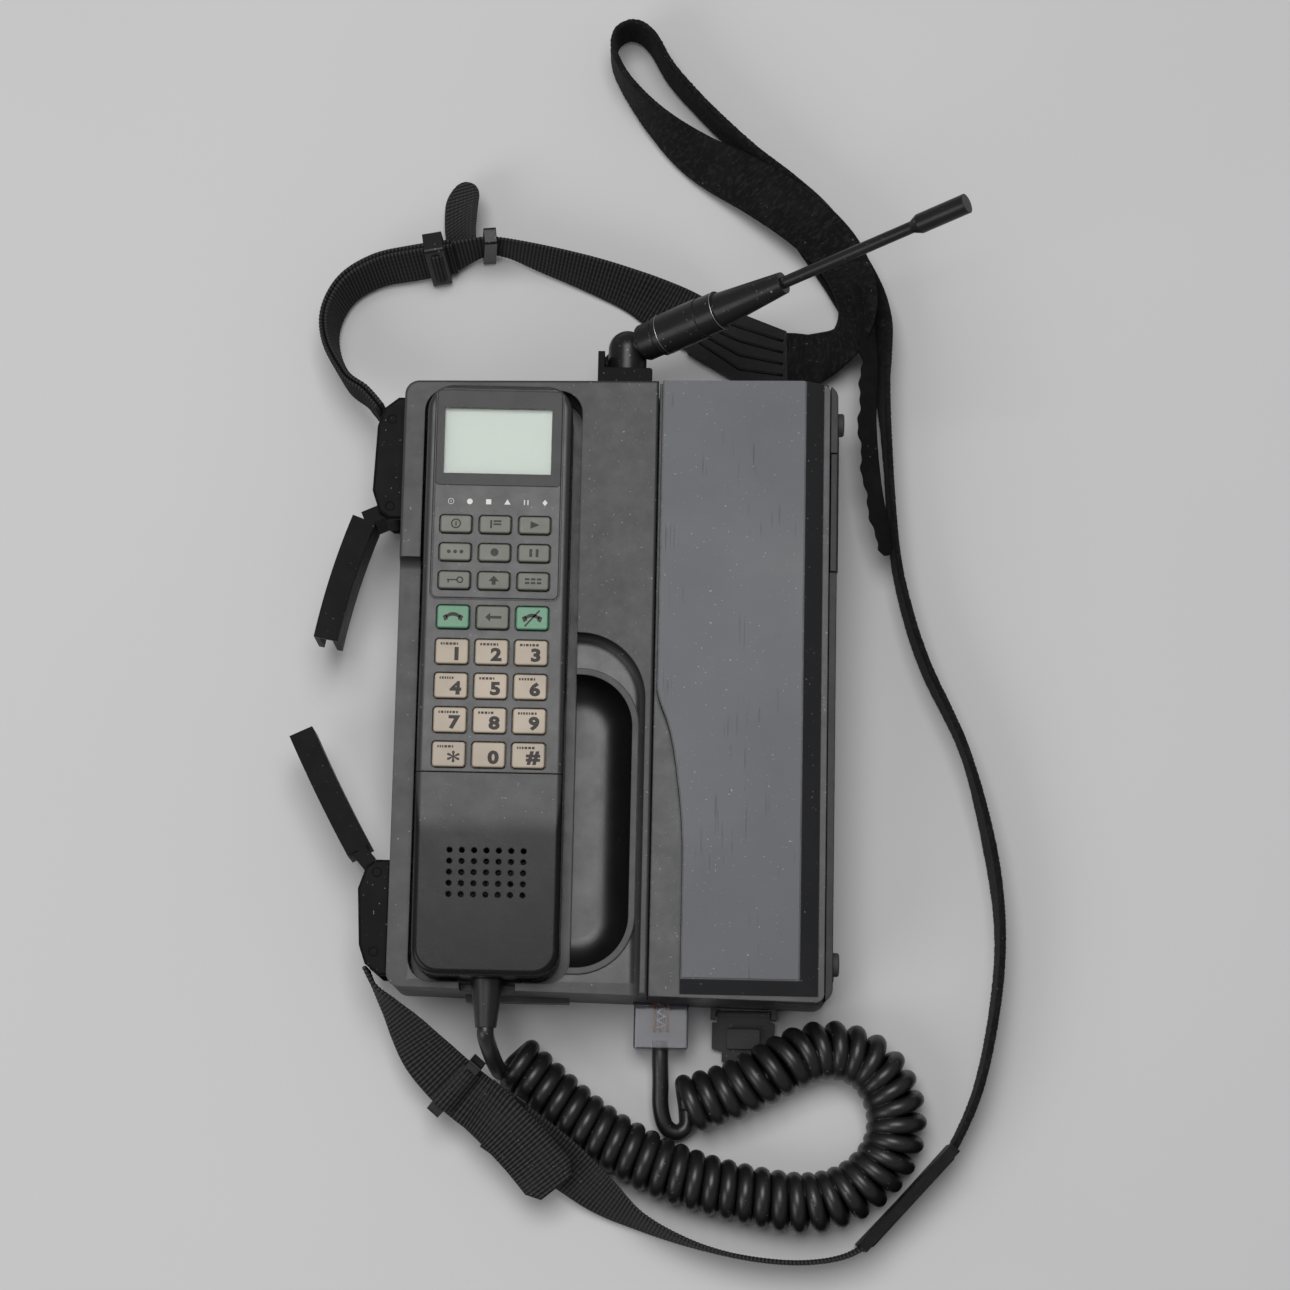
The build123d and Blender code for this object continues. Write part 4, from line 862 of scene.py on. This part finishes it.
def build_legends():
    """Marks on every key and the row of status symbols under the display."""
    for key, digit in DIGITS.items():
        build_digit(key, digit)
    for key, marks in FUNCTION_MARKS.items():
        low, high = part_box(key)
        x = (low.x + high.x) / 2 / MM
        y = (low.y + high.y) / 2 / MM
        marks = [[(1.2 * u, 1.2 * v) for u, v in outline] for outline in marks]
        flat("mark_" + key, marks, x, y, top_of(key, x, y), INK, key, "key_function")
    symbols = [ring_mark(0, 0, 0.95, 0.2) + [bar(0, 0, 0.2, 0.7)], [disc(0, 0, 1.0)], [bar(0, 0, 1.8, 1.8)],
               [[(-1.1, -0.85), (1.1, -0.85), (0, 1.0)]], [bar(-0.6, 0, 0.4, 1.8), bar(0.6, 0, 0.4, 1.8)],
               [[(0, -1.1), (0.9, 0), (0, 1.1), (-0.9, 0)]]]
    for index, marks in enumerate(symbols):
        x = -57.9 + 6.46 * index
        y = 59.7
        flat(f"symbol_{index + 1}", marks, x, y, top_of("handset_front", x, y), PALE_INK, "handset",
             "handset_plastic")


build_legends()


# ---- Antenna, plug and small details -----------------------------------------------------------------------
PIVOT = Vector((1.5, 122, 36)) * MM                     # middle of the antenna's elbow
AERIAL = Vector((0.812, 0.232, 0.536)).normalized()     # direction of the antenna


def band_ring(name, distance, radius, width, material, body):
    """Thin ring round the antenna, at a distance along it from its pivot."""
    begin = distance - width / 2
    end = distance + width / 2
    profile = [(begin, radius - 0.6), (begin, radius), (end, radius), (end, radius - 0.6)]
    shape = turned(PIVOT, AERIAL, [(d * MM, r * MM) for d, r in profile])
    piece(name, *shape, material, body, "antenna_metal")


def build_antenna():
    """Bright worn rings on the antenna and the fine knurl of its nut."""
    for index, (distance, radius) in enumerate(((16.2, 7.34), (39.4, 7.05))):
        band_ring(f"antenna_ring_{index + 1}", distance, radius, 0.22, SILVER, "aerial")
    profile = []
    for step in range(0, 25):
        profile.append((7.4 + step * 0.25, 6.34 + 0.22 * (step % 2)))
    shape = turned(PIVOT, AERIAL, [(d * MM, r * MM) for d, r in profile], 72,
                   lambda distance, side: 1 + 0.012 * (side % 2))
    piece("nut_knurl", *shape, MATERIALS["antenna_metal"], "nut", "antenna_metal")


def build_plug():
    """What shows through the clear plug: a zigzag crimp and three wires."""
    x = (PLUG_LOW.x + PLUG_HIGH.x) / 2
    z = PLUG_LOW.z + (PLUG_HIGH.z - PLUG_LOW.z) * 0.55
    zigzag = []
    for index in range(7):
        side = 1.4 if index % 2 else -1.4
        zigzag.append(Vector((x + side * MM, PLUG_LOW.y + (7 + index * 1.5) * MM, z + 3 * MM)))
    piece("plug_crimp", *tube(zigzag, 0.45 * MM, 6), SILVER, "case", "plug_clear")
    for index, shift in enumerate((-2.2, 0.1, 2.3)):
        wire = [Vector((x + shift * MM, PLUG_LOW.y + (6 + 3.5 * k) * MM, z + 1.2 * MM)) for k in range(5)]
        piece(f"plug_wire_{index + 1}", *tube(wire, 0.6 * MM, 8), WIRE, "case", "plug_clear")


TAB_RIB_Z = 5.0              # height of the pressed ribs on the wide leather tab


def build_tab_ribs():
    """Pressed ribs along the leather tabs and the sewn edge of the wide one."""
    leather_slot = MATERIALS["leather"]
    for index, share in enumerate((0.14, 0.38, 0.62, 0.86)):
        corners = [(26, 133 + 15 * share), (42, 121.5 + 22 * share), (58, 120 + 18 * share)]
        first, middle, last = (Vector((x, y, TAB_RIB_Z)) * MM for x, y in corners)
        path = [first.lerp(middle, t / 6) for t in range(6)] + [middle.lerp(last, t / 6) for t in range(7)]
        piece(f"tab_rib_{index + 1}", *tube(path, 0.55 * MM, 8), leather_slot, "case", "leather")
    seam = [Vector((59.2 - 0.02 * k, 119.4 + k, TAB_RIB_Z + 0.1)) * MM for k in range(20)]
    piece("tab_seam", *tube(seam, 0.3 * MM, 6), MATERIALS["thread"], "case", "leather")
    inner = Vector((120.0, -158.7, 11.6)) * MM
    outer = Vector((92.1, -189.3, 11.6)) * MM
    for index, shift in enumerate((-6, 0, 6)):
        path = [inner.lerp(outer, t / 8) + UP * shift * MM for t in range(9)]
        piece(f"tab_edge_rib_{index + 1}", *tube(path, 0.5 * MM, 8), leather_slot, "case", "leather")


def arched(frames, begin, end, height):
    """Part of a strip lifted into an arch, towards the front of the object."""
    part = frames[begin:end]
    lifted = []
    for row, (point, across, out) in enumerate(part):
        side = 1 if out.z > 0 else -1
        rise = height * math.sin(math.pi * row / (len(part) - 1)) ** 0.6
        lifted.append((point + out * side * rise * MM, across, out))
    return lifted


def build_adjusters():
    """Webbing folded over the middle bar of each adjuster."""
    upper = strip_frames(UPPER_WEB, RIB / 4)
    lower = strip_frames(LOWER_WEB, RIB / 4)
    for name, frames, middle in (("adjuster_fold_upper", upper, (-68.6, 161.4)),
                                 ("adjuster_fold_lower", lower, (-51.7, -137.8))):
        near = min(range(len(frames)), key=lambda i: (frames[i][0].xy - Vector(middle) * MM).length)
        rows = arched(frames, near - 13, near + 13, 4.6)
        shape = strip(rows, WEB_WIDTH * 0.86 * MM, 1.3 * MM, rib_relief)
        cloth(piece(name, *shape, MATERIALS["webbing"], "case", "webbing"), rib_at)


WIRE = moulded("orange_wire", (0.35, 0.09, 0.03), rough=0.45, bump=0.05, wear=0)
build_antenna()
build_plug()
build_tab_ribs()
build_adjusters()


# ---- Stage, camera and light -------------------------------------------------------------------------------
def build_stage():
    """Large pale sheet under the object."""
    half = 3.0
    vertices = [(-half, -half, 0), (half, -half, 0), (half, half, 0), (-half, half, 0)]
    mesh = bpy.data.meshes.new("floor")
    mesh.from_pydata(vertices, [], [(0, 1, 2, 3)])
    mesh.materials.append(FLOOR_PAPER)
    floor = bpy.data.objects.new("floor", mesh)
    floor.location.z = -0.0002
    bpy.context.scene.collection.objects.link(floor)


def add_light(name, place, target, size, power):
    """Soft square light aimed at a point."""
    data = bpy.data.lights.new(name, "AREA")
    data.size = size
    data.energy = power
    lamp = bpy.data.objects.new(name, data)
    lamp.location = place
    lamp.rotation_euler = (Vector(target) - Vector(place)).to_track_quat("-Z", "Y").to_euler()
    bpy.context.scene.collection.objects.link(lamp)


def build_camera():
    """Camera almost overhead, a little towards the bottom end, and turned by about a degree."""
    elevation = math.radians(79.5)
    roll = math.radians(1.2)
    distance = 1.1
    target = Vector((9.8, 13, 50)) * MM
    back = Vector((0, -math.cos(elevation), math.sin(elevation)))
    right = Vector((1, 0, 0))
    up = back.cross(right)
    turned_right = right * math.cos(roll) + up * math.sin(roll)
    turned_up = up * math.cos(roll) - right * math.sin(roll)
    place = target + back * distance
    data = bpy.data.cameras.new("camera")
    data.sensor_width = 36
    data.lens = 89
    data.clip_start = 0.05
    camera = bpy.data.objects.new("camera", data)
    camera.matrix_world = Matrix((
        (turned_right.x, turned_up.x, back.x, place.x),
        (turned_right.y, turned_up.y, back.y, place.y),
        (turned_right.z, turned_up.z, back.z, place.z),
        (0, 0, 0, 1)))
    bpy.context.scene.collection.objects.link(camera)
    bpy.context.scene.camera = camera


build_stage()
build_camera()
add_light("top_softbox", (-0.1, 0.36, 1.7), (0, 0, 0), 0.95, 20)
add_light("left_fill", (-1.2, -0.9, 1.1), (-0.2, -0.2, 0), 1.0, 9)
world = bpy.data.worlds.new("studio")
world.use_nodes = True
world.node_tree.nodes["Background"].inputs["Color"].default_value = (0.9, 0.9, 0.9, 1)
world.node_tree.nodes["Background"].inputs["Strength"].default_value = 0.26
bpy.context.scene.world = world
bpy.context.scene.view_settings.view_transform = "Standard"
